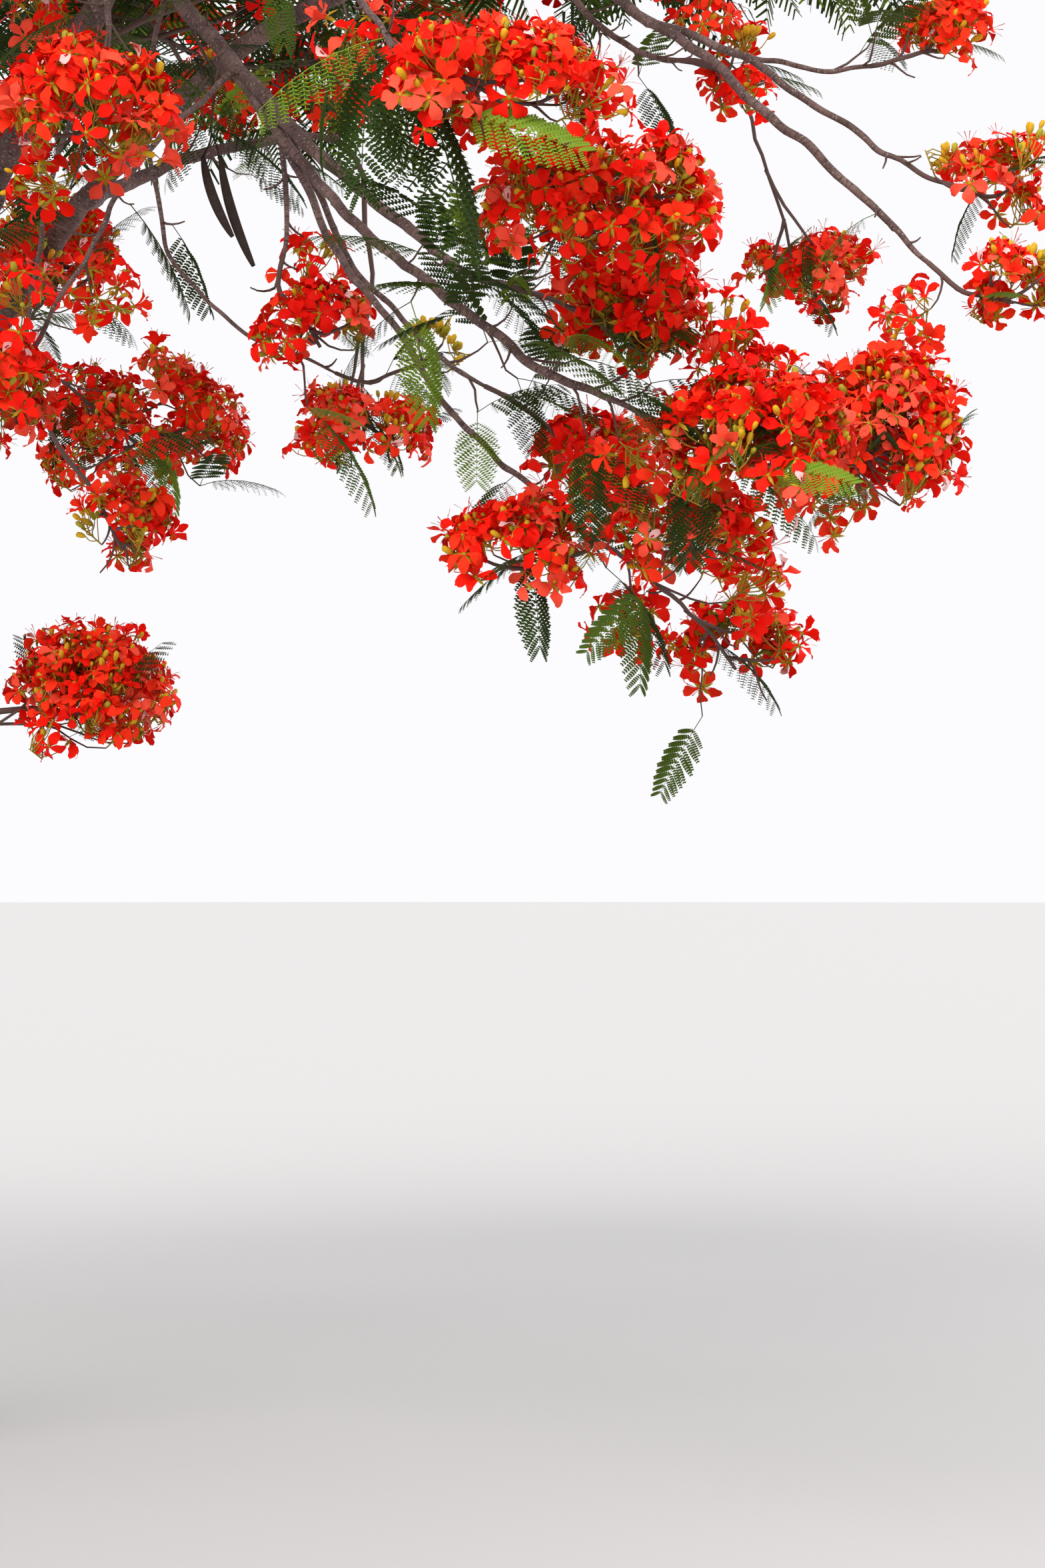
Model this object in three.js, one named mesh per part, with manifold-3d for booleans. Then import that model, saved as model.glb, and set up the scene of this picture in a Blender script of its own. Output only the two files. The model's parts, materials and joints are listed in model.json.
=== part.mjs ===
// A flame tree in full blossom: a short trunk that forks low, arching boughs, and a wide flat umbrella of
// scarlet trusses over ferny leaves, with weeping boughs on the side that reaches over a path.
// Sizes are in millimetres, +Z is up, and the origin is the centre of the trunk's cut on level ground.
import * as THREE from "three";
import { mergeVertices } from "three/addons/utils/BufferGeometryUtils.js";
import Module from "manifold-3d";

const wasm = await Module();
wasm.setup();

// Driving sizes of the whole tree.
const forkHeight = 1560;
const trunkRadius = { foot: 165, fork: 118 };
const trunkLean = new THREE.Vector3(55, -35, 0);
const flare = { out: 75, height: 190, ribs: 5, ribShare: 0.32 };
const crownRadius = 3000;
const crownTop = 4960;
const domeFall = 480; // how far the dome has sunk at the crown radius
const crownTilt = 0.12; // the crown stands higher on the +X side
const clearance = 0.4; // between two pieces that meet
const stemClearance = 1.6; // between two stems seated side by side on one tip

// The boughs. Each leaves the middle of its parent at a share of the parent's length, and ends at a tip.
// bow is how far its middle stands off the straight line, and radius is its root and its tip.
const boughs = [
  { name: "front_bough", from: "trunk", at: 0.9, tip: [1150, -1130, 3900], bow: [-60, 60, 330], radius: [62, 25] },
  { name: "back_bough", from: "trunk", at: 0.93, tip: [600, 1500, 4150], bow: [-60, -130, 260], radius: [58, 26] },
  { name: "back_left_bough", from: "trunk", at: 0.88, tip: [-1050, 1150, 4050], bow: [90, -90, 260], radius: [60, 26] },
  { name: "left_bough", from: "trunk", at: 0.95, tip: [-1250, -350, 3980], bow: [150, 40, 260], radius: [52, 24] },
  { name: "front_left_bough", from: "trunk", at: 0.86, tip: [-250, -1600, 3950], bow: [20, 120, 260], radius: [54, 24] },
  { name: "right_bough", from: "front_bough", at: 0.26, tip: [2090, -800, 4040], bow: [-170, 200, 420], radius: [38, 20] },
  { name: "inner_bough", from: "back_bough", at: 0.3, tip: [600, 420, 3080], bow: [20, -60, 40], radius: [26, 13] },
  { name: "far_bough", from: "right_bough", at: 0.5, tip: [1590, 300, 3720], bow: [-40, 40, 40], radius: [22, 11] },
  { name: "weeping_bough", from: "front_bough", at: 1, tip: [2030, -2200, 2900], bow: [30, -40, -100], radius: [22, 10] },
  { name: "near_bough", from: "front_bough", at: 1, tip: [1840, -2800, 3300], bow: [80, -140, 60], radius: [18, 9] },
  { name: "near_left_bough", from: "front_bough", at: 1, tip: [1220, -2450, 3330], bow: [10, -210, 70], radius: [13, 8] },
  { name: "middle_limb", from: "weeping_bough", at: 0.3, tip: [2410, -2300, 2580], bow: [-50, -60, -100], radius: [14, 9] },
  { name: "inner_limb", from: "weeping_bough", at: 0.46, tip: [2100, -1700, 2710], bow: [-30, 0, -110], radius: [9, 5] },
  { name: "long_limb", from: "middle_limb", at: 0.2, tip: [2270, -1900, 2370], bow: [-60, -60, -60], radius: [10, 6] },
  { name: "hooked_limb", from: "weeping_bough", at: 0.4, tip: [1510, -1600, 2980], bow: [50, 0, 10], radius: [8, 5] },
  { name: "crossing_limb", from: "weeping_bough", at: 0.34, tip: [990, -1900, 2770], bow: [0, -90, 60], radius: [8, 5] },
  { name: "hanging_limb", from: "front_bough", at: 0.97, tip: [1010, -1150, 2620], bow: [-150, -60, -180], radius: [8, 5] },
  { name: "looping_limb", from: "weeping_bough", at: 0.12, tip: [1750, -1450, 2790], bow: [-240, 0, -160], radius: [7, 4] },
  { name: "right_limb", from: "right_bough", at: 1, tip: [3110, -1600, 2980], bow: [0, -150, 20], radius: [16, 8] },
  { name: "right_upper_limb", from: "right_limb", at: 0.36, tip: [3050, -1500, 3260], bow: [-10, 0, 40], radius: [11, 7] },
  { name: "right_top_limb", from: "right_upper_limb", at: 0.32, tip: [3020, -1400, 3560], bow: [0, 20, -10], radius: [7, 5] },
  { name: "top_limb", from: "right_bough", at: 1, tip: [2540, -700, 3730], bow: [40, 0, -130], radius: [11, 7] },
];

// The masses of the weeping side, each in an ellipsoid of its own. blossom is the share of its twigs that flower.
const weepingMasses = [
  { name: "near_crest", on: "near_bough", centre: [2060, -2930, 3190], reach: [250, 190, 125], blossom: 1 },
  { name: "near_shoulder", on: "near_bough", centre: [2260, -2600, 2990], reach: [265, 200, 165], blossom: 1 },
  { name: "elbow", on: "weeping_bough", centre: [2310, -2230, 2835], reach: [190, 160, 135], blossom: 1 },
  { name: "heart", on: "middle_limb", centre: [2600, -2470, 2540], reach: [220, 170, 160], blossom: 1 },
  { name: "right_head", on: "middle_limb", centre: [2920, -1850, 2620], reach: [185, 190, 220], blossom: 1 },
  { name: "under_heart", on: "middle_limb", centre: [2470, -2060, 2360], reach: [190, 150, 130], blossom: 1 },
  { name: "inner_cluster", on: "inner_limb", centre: [2250, -1600, 2575], reach: [170, 150, 130], blossom: 0.8 },
  { name: "lower_left", on: "long_limb", centre: [2105, -1930, 2345], reach: [195, 150, 140], blossom: 1 },
  { name: "drop", on: "long_limb", centre: [2610, -1400, 2150], reach: [175, 140, 155], blossom: 0.8 },
  { name: "hooked_cluster", on: "hooked_limb", centre: [1630, -1600, 2880], reach: [160, 140, 120], blossom: 1 },
  { name: "bud_spray", on: "looping_limb", centre: [1880, -1500, 2850], reach: [110, 110, 90], blossom: 0.5 },
  { name: "low_pair", on: "far_bough", centre: [1670, -150, 2815], reach: [230, 180, 150], blossom: 0.8 },
  { name: "near_left", on: "near_left_bough", centre: [1215, -2700, 3170], reach: [200, 190, 160], blossom: 1 },
  { name: "left_edge", on: "crossing_limb", centre: [930, -1950, 2710], reach: [160, 150, 140], blossom: 0.8 },
  { name: "left_drop", on: "hanging_limb", centre: [1120, -1180, 2450], reach: [140, 130, 135], blossom: 0.6 },
  { name: "inner_high", on: "inner_bough", centre: [730, 700, 3400], reach: [195, 200, 215], blossom: 1 },
  { name: "inner_row", on: "inner_bough", centre: [980, 780, 2935], reach: [330, 250, 250], blossom: 1 },
  {
    name: "low_arch",
    on: "trunk",
    at: 0.94,
    stem: 15,
    arch: 0.3,
    centre: [920, -100, 2110],
    reach: [245, 210, 195],
    blossom: 1,
  },
  { name: "far_right", on: "top_limb", centre: [2890, 250, 3300], reach: [205, 170, 120], blossom: 1 },
  { name: "top_cluster", on: "top_limb", centre: [2685, -650, 3685], reach: [146, 140, 160], blossom: 0.7 },
  { name: "right_top", on: "right_top_limb", centre: [3125, -1300, 3645], reach: [130, 130, 115], blossom: 1 },
  { name: "right_upper", on: "right_upper_limb", centre: [3190, -1530, 3240], reach: [180, 150, 135], blossom: 1 },
  { name: "right_lower", on: "right_limb", centre: [3240, -1630, 2985], reach: [145, 140, 112], blossom: 1 },
];

// The masses of the umbrella, in rings about the trunk. azimuth is in degrees from +X towards +Y, and on names
// the bough that carries each in turn.
const crownRings = [
  { name: "dome", radius: 120, azimuth: [60], reach: [1050, 1050, 350], on: ["back_left_bough"] },
  {
    name: "upper",
    radius: 1450,
    azimuth: [40, 165, 285],
    reach: [920, 920, 380],
    on: ["back_bough", "left_bough", "front_left_bough"],
  },
  {
    name: "over_path",
    radius: 2500,
    azimuth: [-50, -14],
    reach: [820, 820, 330],
    on: ["front_bough", "right_bough"],
  },
  {
    name: "rim",
    radius: crownRadius,
    azimuth: [30, 70, 110, 150, 190, 230, 270],
    reach: [1000, 1000, 460],
    on: [
      "back_bough",
      "back_bough",
      "back_left_bough",
      "back_left_bough",
      "left_bough",
      "front_left_bough",
      "front_left_bough",
    ],
  },
];
const crownBlossom = 0.7;

// What a mass is made of. Sizes are shares of the mass's own height, kept between a smallest and a largest.
const truss = { share: 0.62, least: 78, most: 235, notch: 0.45, depth: 0.75, petals: 5 };
const leaf = {
  share: 2.1,
  least: 190,
  most: 640,
  width: 0.4,
  thickness: 0.05,
  sizes: [1, 0.75, 0.5],
};
const twig = { root: 5.5, taper: 0.45, sides: 3, bow: 0.1 };
const stem = { sides: 3, steps: 3, taper: 0.55, bare: 0.5 };
// How each kind of mass grows: one twig for so much of its height, kept between a least and a most, the twigs'
// thickness and straight stretches, the chance of a leaf beside a truss at a place along the twig, and the
// places of the leaves on a twig that doesn't flower.
const growth = {
  weeping: { perTwig: 46, least: 3, most: 4, thick: 1, steps: 1, chance: 0.25, beside: 0.6, alone: [0.97] },
  crown: { perTwig: 60, least: 6, most: 6, thick: 1.7, steps: 1, chance: 0.45, beside: 0.6, alone: [0.5, 0.97] },
};
const seed = 20417;

const up = new THREE.Vector3(0, 0, 1);
const barkColour = new THREE.Color(0.33, 0.26, 0.21);
const blossomColour = new THREE.Color(0.86, 0.09, 0.05);
const leafColour = new THREE.Color(0.24, 0.4, 0.12);

// A seeded row of numbers from 0 to 1, the same in every run.
function randomRow(start) {
  let state = start >>> 0;
  return () => {
    state = (Math.imul(state, 1664525) + 1013904223) >>> 0;
    return state / 4294967296;
  };
}

function clamp(value, low, high) {
  return Math.min(high, Math.max(low, value));
}

// A closed geometry as a solid that can be joined and cut.
function solidOf(geometry) {
  geometry.deleteAttribute("normal");
  geometry.deleteAttribute("uv");
  const merged = mergeVertices(geometry, 1e-3);
  return new wasm.Manifold(
    new wasm.Mesh({
      numProp: 3,
      vertProperties: new Float32Array(merged.getAttribute("position").array),
      triVerts: new Uint32Array(merged.index.array),
    }),
  );
}

// A solid as a geometry to draw.
function geometryOf(solid) {
  const mesh = solid.getMesh();
  const geometry = new THREE.BufferGeometry();
  geometry.setAttribute("position", new THREE.BufferAttribute(mesh.vertProperties, 3));
  geometry.setIndex(new THREE.BufferAttribute(mesh.triVerts, 1));
  return geometry;
}

// The largest piece of a solid, so that a cut leaves no scrap behind.
function largestPiece(solid) {
  const pieces = solid.decompose();
  return pieces.reduce((best, piece) => (piece.volume() > best.volume() ? piece : best));
}

// A curve from start to end whose middle stands off the straight line by bow.
function bowedCurve(start, end, bow) {
  const chord = end.clone().sub(start);
  const lift = bow.clone().multiplyScalar(4 / 3);
  const first = start.clone().addScaledVector(chord, 1 / 3).add(lift);
  const second = start.clone().addScaledVector(chord, 2 / 3).add(lift);
  return new THREE.CubicBezierCurve3(start.clone(), first, second, end.clone());
}

// A round limb along a curve: a cylinder whose rings are carried along it. radiusAt gives the radius from the
// share of the length and the angle round it, and grow widens and lengthens it for cutting its neighbours.
function limbGeometry(curve, radiusAt, sides, steps, grow = 0) {
  const geometry = new THREE.CylinderGeometry(1, 1, 1, sides, steps);
  const position = geometry.getAttribute("position");
  const frames = curve.computeFrenetFrames(steps);
  for (let i = 0; i < position.count; i++) {
    const ring = Math.round((position.getY(i) + 0.5) * steps);
    const x = position.getX(i);
    const z = position.getZ(i);
    const radius = Math.hypot(x, z) > 0.5 ? radiusAt(ring / steps, Math.atan2(z, x)) + grow : 0;
    const point = curve.getPointAt(ring / steps);
    point.addScaledVector(frames.normals[ring], x * radius).addScaledVector(frames.binormals[ring], -z * radius);
    if (ring === 0) point.addScaledVector(frames.tangents[ring], -grow);
    if (ring === steps) point.addScaledVector(frames.tangents[ring], grow);
    position.setXYZ(i, point.x, point.y, point.z);
  }
  return geometry;
}

// A point on the middle line of such a limb, which runs straight from ring to ring.
function pointOnLimb(curve, steps, share) {
  const ring = Math.min(Math.floor(share * steps), steps - 1);
  return curve.getPointAt(ring / steps).lerp(curve.getPointAt((ring + 1) / steps), share * steps - ring);
}

// Straight stretches with a radius stand for every limb, twig and leaf where nearness is tested.
const taken = [];

function segmentDistance(a, b, c, d) {
  const u = b.clone().sub(a);
  const v = d.clone().sub(c);
  const w = a.clone().sub(c);
  const uu = u.dot(u);
  const vv = v.dot(v);
  const uv = u.dot(v);
  const uw = u.dot(w);
  const vw = v.dot(w);
  const flat = uu * vv - uv * uv;
  let s = flat > 1e-9 ? clamp((uv * vw - vv * uw) / flat, 0, 1) : 0;
  const t = clamp((uv * s + vw) / vv, 0, 1);
  s = clamp((uv * t - uw) / uu, 0, 1);
  return w.addScaledVector(u, s).addScaledVector(v, -t).length();
}

function isClear(owner, a, b, radius) {
  return taken.every(
    (other) => other.owner === owner || segmentDistance(a, b, other.a, other.b) > radius + other.radius + 1,
  );
}

function take(owner, a, b, radius) {
  taken.push({ owner, a: a.clone(), b: b.clone(), radius });
}

function takeCurve(owner, curve, radiusAt, steps) {
  for (let k = 0; k < steps; k++)
    take(owner, curve.getPointAt(k / steps), curve.getPointAt((k + 1) / steps), radiusAt(k / steps, 0));
}

// The trunk: from its flat cut at the ground, flared into root ribs, to the fork.
const limbs = new Map();

function makeTrunk() {
  const top = new THREE.Vector3(trunkLean.x, trunkLean.y, forkHeight);
  const curve = new THREE.CubicBezierCurve3(
    new THREE.Vector3(0, 0, 0),
    new THREE.Vector3(0, 0, forkHeight * 0.35),
    new THREE.Vector3(trunkLean.x * 0.9, trunkLean.y * 0.9, forkHeight * 0.7),
    top,
  );
  const radiusAt = (share, angle) => {
    const taper = trunkRadius.foot + (trunkRadius.fork - trunkRadius.foot) * share;
    const rib = 1 + flare.ribShare * Math.cos(flare.ribs * angle);
    return taper + flare.out * Math.exp((-share * forkHeight) / flare.height) * rib;
  };
  limbs.set("trunk", { curve, radiusAt, sides: 15, steps: 7 });
}

function makeBough({ name, from, at, tip, bow, radius }) {
  const parent = limbs.get(from);
  const curve = bowedCurve(parent.curve.getPointAt(at), new THREE.Vector3(...tip), new THREE.Vector3(...bow));
  const radiusAt = (share) => radius[0] + (radius[1] - radius[0]) * share;
  const thick = radius[0] > 30;
  limbs.set(name, { curve, radiusAt, parent: from, sides: thick ? 8 : 5, steps: thick ? 5 : 4 });
}

// Every limb is cut clear of its parent and of its parent's earlier boughs.
function limbSolids() {
  const whole = new Map();
  const made = new Map();
  for (const [name, limb] of limbs) {
    let solid = solidOf(limbGeometry(limb.curve, limb.radiusAt, limb.sides, limb.steps));
    const cutter = solidOf(limbGeometry(limb.curve, limb.radiusAt, limb.sides, limb.steps, clearance));
    for (const [otherName, other] of whole) {
      const related = otherName === limb.parent || limbs.get(otherName).parent === limb.parent;
      if (related) solid = solid.subtract(other);
    }
    whole.set(name, cutter);
    made.set(name, largestPiece(solid));
  }
  return { made, cutters: whole };
}

// One mass: a stem from its bough's tip, twigs that fan out of the stem to the mass's skin, a truss of blossom
// or a leaf at each twig's end, and leaves along the twig.
function planMass(mass, number) {
  const limb = limbs.get(mass.on);
  const root = limb.curve.getPointAt(mass.at ?? 1);
  const centre = new THREE.Vector3(...mass.centre);
  const reach = new THREE.Vector3(...mass.reach);
  const end = centre.clone().addScaledVector(up, -0.3 * reach.z);
  const run = end.clone().sub(root);
  const heading = mass.at ? run.clone().normalize() : limb.curve.getTangentAt(1);
  const lead = heading.clone().lerp(run.clone().normalize(), 0.7).normalize();
  const lift = up.clone().multiplyScalar((mass.arch ?? 0.08) * run.length());
  const curve = new THREE.CubicBezierCurve3(
    root.clone(),
    root.clone().addScaledVector(lead, 0.3 * run.length()).add(lift),
    end.clone().addScaledVector(run, -0.3).add(lift),
    end,
  );
  const random = randomRow(seed + 977 * number);
  return { ...mass, number, curve, centre, reach, heading, random, stemRadius: mass.stem ?? 0 };
}

// Stems that share a bough's tip stand side by side on its end, each towards its own mass. Each starts a little
// inside the bough, and is cut clear of it.
function seatStems(plans) {
  for (const plan of plans.filter((other) => !other.stemRadius)) {
    const mates = plans.filter((other) => other.on === plan.on);
    const boughsHere = boughs.filter((bough) => bough.from === plan.on && bough.at === 1);
    const alone = mates.length + boughsHere.length === 1;
    const tipRadius = limbs.get(plan.on).radiusAt(1);
    plan.stemRadius = clamp(tipRadius * (alone ? 0.8 : 0.42), 3.5, 15);
    const aside = plan.centre.clone().sub(plan.curve.v0);
    aside.addScaledVector(plan.heading, -aside.dot(plan.heading)).normalize();
    const move = aside.multiplyScalar(alone ? 0 : tipRadius - plan.stemRadius).addScaledVector(plan.heading, -2);
    plan.curve.v0.add(move);
    plan.curve.v1.add(move);
  }
}

function stemRadiusAt(plan) {
  return (share) => plan.stemRadius * (1 - stem.taper * share);
}

function stemGeometry(plan, grow = 0) {
  return limbGeometry(plan.curve, stemRadiusAt(plan), stem.sides, stem.steps, grow);
}

// Whether a point lies in the mass's own space.
function isInside(plan, point) {
  const p = point.clone().sub(plan.centre).divide(plan.reach);
  return p.length() <= 1.02;
}

// A truss of blossom: a low star of petals with a raised middle and a flat back, over the twig's end.
function trussGeometry(radius, at, facing) {
  const geometry = new THREE.CylinderGeometry(0, radius, radius * truss.depth, truss.petals * 2, 1);
  const position = geometry.getAttribute("position");
  for (let i = 0; i < position.count; i++) {
    const x = position.getX(i);
    const z = position.getZ(i);
    const corner = Math.round(Math.atan2(x, z) / (Math.PI / truss.petals));
    const out = corner % 2 === 0 ? 1 : truss.notch;
    position.setXYZ(i, x * out, position.getY(i) + radius * truss.depth * 0.2, z * out);
  }
  geometry.applyQuaternion(new THREE.Quaternion().setFromUnitVectors(new THREE.Vector3(0, 1, 0), facing));
  geometry.translate(at.x, at.y, at.z);
  return geometry;
}

// A leaf: a long pointed blade of eight faces, its root sunk in the twig.
function leafGeometry(length, at, along, face) {
  const geometry = new THREE.OctahedronGeometry(1, 0);
  geometry.scale(length * leaf.width * 0.5, length * 0.5, length * leaf.thickness * 0.5);
  geometry.translate(0, length * 0.5, 0);
  const across = new THREE.Vector3().crossVectors(along, face).normalize();
  const over = new THREE.Vector3().crossVectors(across, along);
  const turn = new THREE.Matrix4().makeBasis(across, along, over);
  geometry.applyMatrix4(turn);
  geometry.translate(at.x, at.y, at.z);
  return geometry;
}

// The longest leaf that a twig has room for at a place, on one side of it or the other.
function fittingBlade(plan, at, tangent, longest, count) {
  const side = tangent.clone().cross(up).normalize();
  for (const size of leaf.sizes)
    for (const hand of count % 2 ? [1, -1] : [-1, 1]) {
      const along = side.clone().multiplyScalar(hand).addScaledVector(tangent, 0.5).addScaledVector(up, -0.2);
      along.normalize();
      const length = longest * size;
      const tip = at.clone().addScaledVector(along, length);
      if (isInside(plan, tip) && isClear(plan.name, at, tip, length * leaf.width * 0.5))
        return { root: at.clone().addScaledVector(along, -3), tip, along, length };
    }
  return null;
}

// Where the twigs of a mass end: spread evenly over its upper skin by the golden angle, with a little chance.
function twigTarget(plan, k, count, turn, inset) {
  const height = 0.92 - (1.35 * (k + 0.5)) / count;
  const spread = Math.sqrt(1 - height * height);
  const azimuth = turn + k * 2.399963 + (plan.random() - 0.5) * 0.5;
  const skin = new THREE.Vector3(Math.cos(azimuth) * spread, Math.sin(azimuth) * spread, height);
  const room = plan.reach.clone().subScalar(inset).multiplyScalar(0.9 + 0.08 * plan.random());
  return plan.centre.clone().add(skin.multiply(room));
}

function growMass(plan, kind) {
  const pieces = [solidOf(stemGeometry(plan))];
  const trussRadius = clamp(truss.share * plan.reach.z, truss.least, truss.most);
  const leafLength = clamp(leaf.share * plan.reach.z, leaf.least, leaf.most);
  const twigs = clamp(Math.round(plan.reach.z / kind.perTwig), kind.least, kind.most);
  const turn = plan.random() * 2 * Math.PI;
  const radiusAt = (share) => twig.root * kind.thick * (1 - twig.taper * share);
  for (let k = 0; k < twigs; k++) {
    const target = twigTarget(plan, k, twigs, turn, trussRadius * 0.75);
    const flowers = plan.random() < plan.blossom;
    const root = pointOnLimb(plan.curve, stem.steps, stem.bare + (1 - stem.bare) * ((k + 0.5) / twigs));
    const bow = up.clone().multiplyScalar(-twig.bow * target.distanceTo(root));
    const curve = bowedCurve(root, target, bow);
    const rings = Array.from({ length: kind.steps + 1 }, (unused, i) => curve.getPointAt(i / kind.steps));
    if (!rings.slice(1).every((point, i) => isClear(plan.name, rings[i], point, radiusAt(0)))) continue;
    pieces.push(solidOf(limbGeometry(curve, radiusAt, twig.sides, kind.steps)));
    takeCurve(plan.name, curve, radiusAt, kind.steps);
    const facing = curve.getTangentAt(1).lerp(up, 0.55).normalize();
    const crest = target.clone().addScaledVector(facing, truss.depth * 0.3 * trussRadius);
    if (flowers && isClear(plan.name, target, crest, trussRadius)) {
      pieces.push(solidOf(trussGeometry(trussRadius, target, facing)));
      take(plan.name, target, crest, trussRadius);
    }
    const leafPlaces = flowers ? [kind.beside].filter(() => plan.random() < kind.chance) : kind.alone;
    leafPlaces.forEach((share, count) => {
      const at = pointOnLimb(curve, kind.steps, share);
      const blade = fittingBlade(plan, at, curve.getTangentAt(share), leafLength, count + k);
      if (!blade) return;
      pieces.push(solidOf(leafGeometry(blade.length, blade.root, blade.along, up)));
      take(plan.name, at, blade.tip, blade.length * leaf.width * 0.4);
    });
  }
  return largestPiece(wasm.Manifold.union(pieces));
}

function crownMasses() {
  const masses = [];
  for (const ring of crownRings)
    ring.azimuth.forEach((degrees, k) => {
      const angle = THREE.MathUtils.degToRad(degrees);
      const x = ring.radius * Math.cos(angle);
      const y = ring.radius * Math.sin(angle);
      const z = crownTop - domeFall * (ring.radius / crownRadius) ** 2 + crownTilt * x;
      const name = ring.azimuth.length > 1 ? ring.name + "_" + (k + 1) : ring.name;
      masses.push({ name, on: ring.on[k], centre: [x, y, z], reach: ring.reach, blossom: crownBlossom, crown: true });
    });
  return masses;
}

makeTrunk();
boughs.forEach(makeBough);
const plans = [...weepingMasses, ...crownMasses()].map(planMass);
seatStems(plans);
for (const [name, limb] of limbs) takeCurve(name, limb.curve, limb.radiusAt, 8);
for (const plan of plans) takeCurve(plan.name, plan.curve, stemRadiusAt(plan), stem.steps);

const tree = new THREE.Group();
tree.name = "flame_tree";

function addNode(name, solid, colour) {
  const material = new THREE.MeshStandardMaterial({ color: colour, roughness: 0.8, metalness: 0 });
  const mesh = new THREE.Mesh(geometryOf(solid), material);
  mesh.name = name;
  tree.add(mesh);
}

const { made, cutters } = limbSolids();
for (const [name, solid] of made) addNode(name, solid, barkColour);
for (const plan of plans) {
  // A mass stands clear of its bough, of that bough's own boughs, and of the stems seated beside its own.
  const boughsHere = [...cutters].filter(([name]) => name === plan.on || limbs.get(name).parent === plan.on);
  const stemsHere = plans.filter((other) => other.on === plan.on && other.number < plan.number);
  const cut = [
    ...boughsHere.map(([, cutter]) => cutter),
    ...stemsHere.map((other) => solidOf(stemGeometry(other, stemClearance))),
  ];
  const mass = growMass(plan, plan.crown ? growth.crown : growth.weeping);
  const clear = cut.reduce((solid, cutter) => solid.subtract(cutter), mass);
  addNode(plan.name, largestPiece(clear), plan.blossom > 0.5 ? blossomColour : leafColour);
}

export default tree;
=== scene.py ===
# A flame tree in full blossom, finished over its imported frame: bark on the trunk and boughs, and twigs,
# blossom and ferny leaves that grow out of the limbs into each mass's own space. Metres, +Z up, with the
# origin at the middle of the trunk's foot.
import json
import math

import bmesh
import bpy
import numpy as np
from mathutils import Matrix, Vector, noise

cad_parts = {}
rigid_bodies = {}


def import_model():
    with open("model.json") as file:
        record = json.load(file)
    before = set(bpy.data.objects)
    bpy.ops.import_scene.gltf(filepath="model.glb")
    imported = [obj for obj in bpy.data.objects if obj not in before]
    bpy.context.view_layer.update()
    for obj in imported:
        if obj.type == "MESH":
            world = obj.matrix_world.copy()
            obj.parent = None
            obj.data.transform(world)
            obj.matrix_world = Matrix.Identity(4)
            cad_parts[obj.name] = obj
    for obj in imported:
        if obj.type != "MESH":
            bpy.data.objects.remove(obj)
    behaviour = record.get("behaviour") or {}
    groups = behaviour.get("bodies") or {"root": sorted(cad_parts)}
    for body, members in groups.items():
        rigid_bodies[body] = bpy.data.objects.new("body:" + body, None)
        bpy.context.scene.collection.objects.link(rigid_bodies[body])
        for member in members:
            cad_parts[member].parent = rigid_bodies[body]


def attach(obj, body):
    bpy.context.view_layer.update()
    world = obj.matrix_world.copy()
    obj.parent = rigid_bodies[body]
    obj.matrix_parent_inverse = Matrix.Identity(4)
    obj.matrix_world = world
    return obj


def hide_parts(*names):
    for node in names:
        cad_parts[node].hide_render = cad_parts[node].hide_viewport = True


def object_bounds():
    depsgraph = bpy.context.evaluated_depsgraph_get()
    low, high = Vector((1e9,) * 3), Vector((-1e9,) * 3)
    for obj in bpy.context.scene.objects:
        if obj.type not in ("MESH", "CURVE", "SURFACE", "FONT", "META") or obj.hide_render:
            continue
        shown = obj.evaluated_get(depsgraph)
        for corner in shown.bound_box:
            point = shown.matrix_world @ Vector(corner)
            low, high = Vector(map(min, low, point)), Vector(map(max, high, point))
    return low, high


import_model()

cad_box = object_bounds()

# View, ground and light. The tree is seen from the path under its weeping side, at an adult's eye height and
# through a short telephoto lens. It stands on plain pale ground under a bright, evenly clouded sky.
camera = bpy.data.objects.new("camera", bpy.data.cameras.new("camera"))
camera.data.lens = 85
camera.data.sensor_width = 36
camera.data.clip_end = 300
camera.location = (2.1, -10.2, 1.67)
camera.rotation_euler = (math.radians(90 + 1.09), 0, 0)
bpy.context.scene.collection.objects.link(camera)
bpy.context.scene.camera = camera

ground_radius = 120
bm = bmesh.new()
bmesh.ops.create_circle(bm, cap_ends=True, segments=96, radius=ground_radius)
ground = bpy.data.objects.new("ground", bpy.data.meshes.new("ground"))
bm.to_mesh(ground.data)
bm.free()
bpy.context.scene.collection.objects.link(ground)


def new_finish(name):
    """A new material with its node tree and its shader."""
    finish = bpy.data.materials.new(name)
    finish.use_nodes = True
    return finish, finish.node_tree, finish.node_tree.nodes["Principled BSDF"]


pale_ground, ground_tree, ground_shader = new_finish("pale_ground")
ground_shader.inputs["Base Color"].default_value = (0.47, 0.465, 0.46, 1)
ground_shader.inputs["Roughness"].default_value = 0.95
ground_shader.inputs["Specular IOR Level"].default_value = 0.1
ground.data.materials.append(pale_ground)

world = bpy.data.worlds.new("clouded_sky")
world.use_nodes = True
world.node_tree.nodes["Background"].inputs["Color"].default_value = (0.975, 0.97, 0.99, 1)
world.node_tree.nodes["Background"].inputs["Strength"].default_value = 1.0
bpy.context.scene.world = world
bpy.context.scene.view_settings.view_transform = "Standard"

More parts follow.
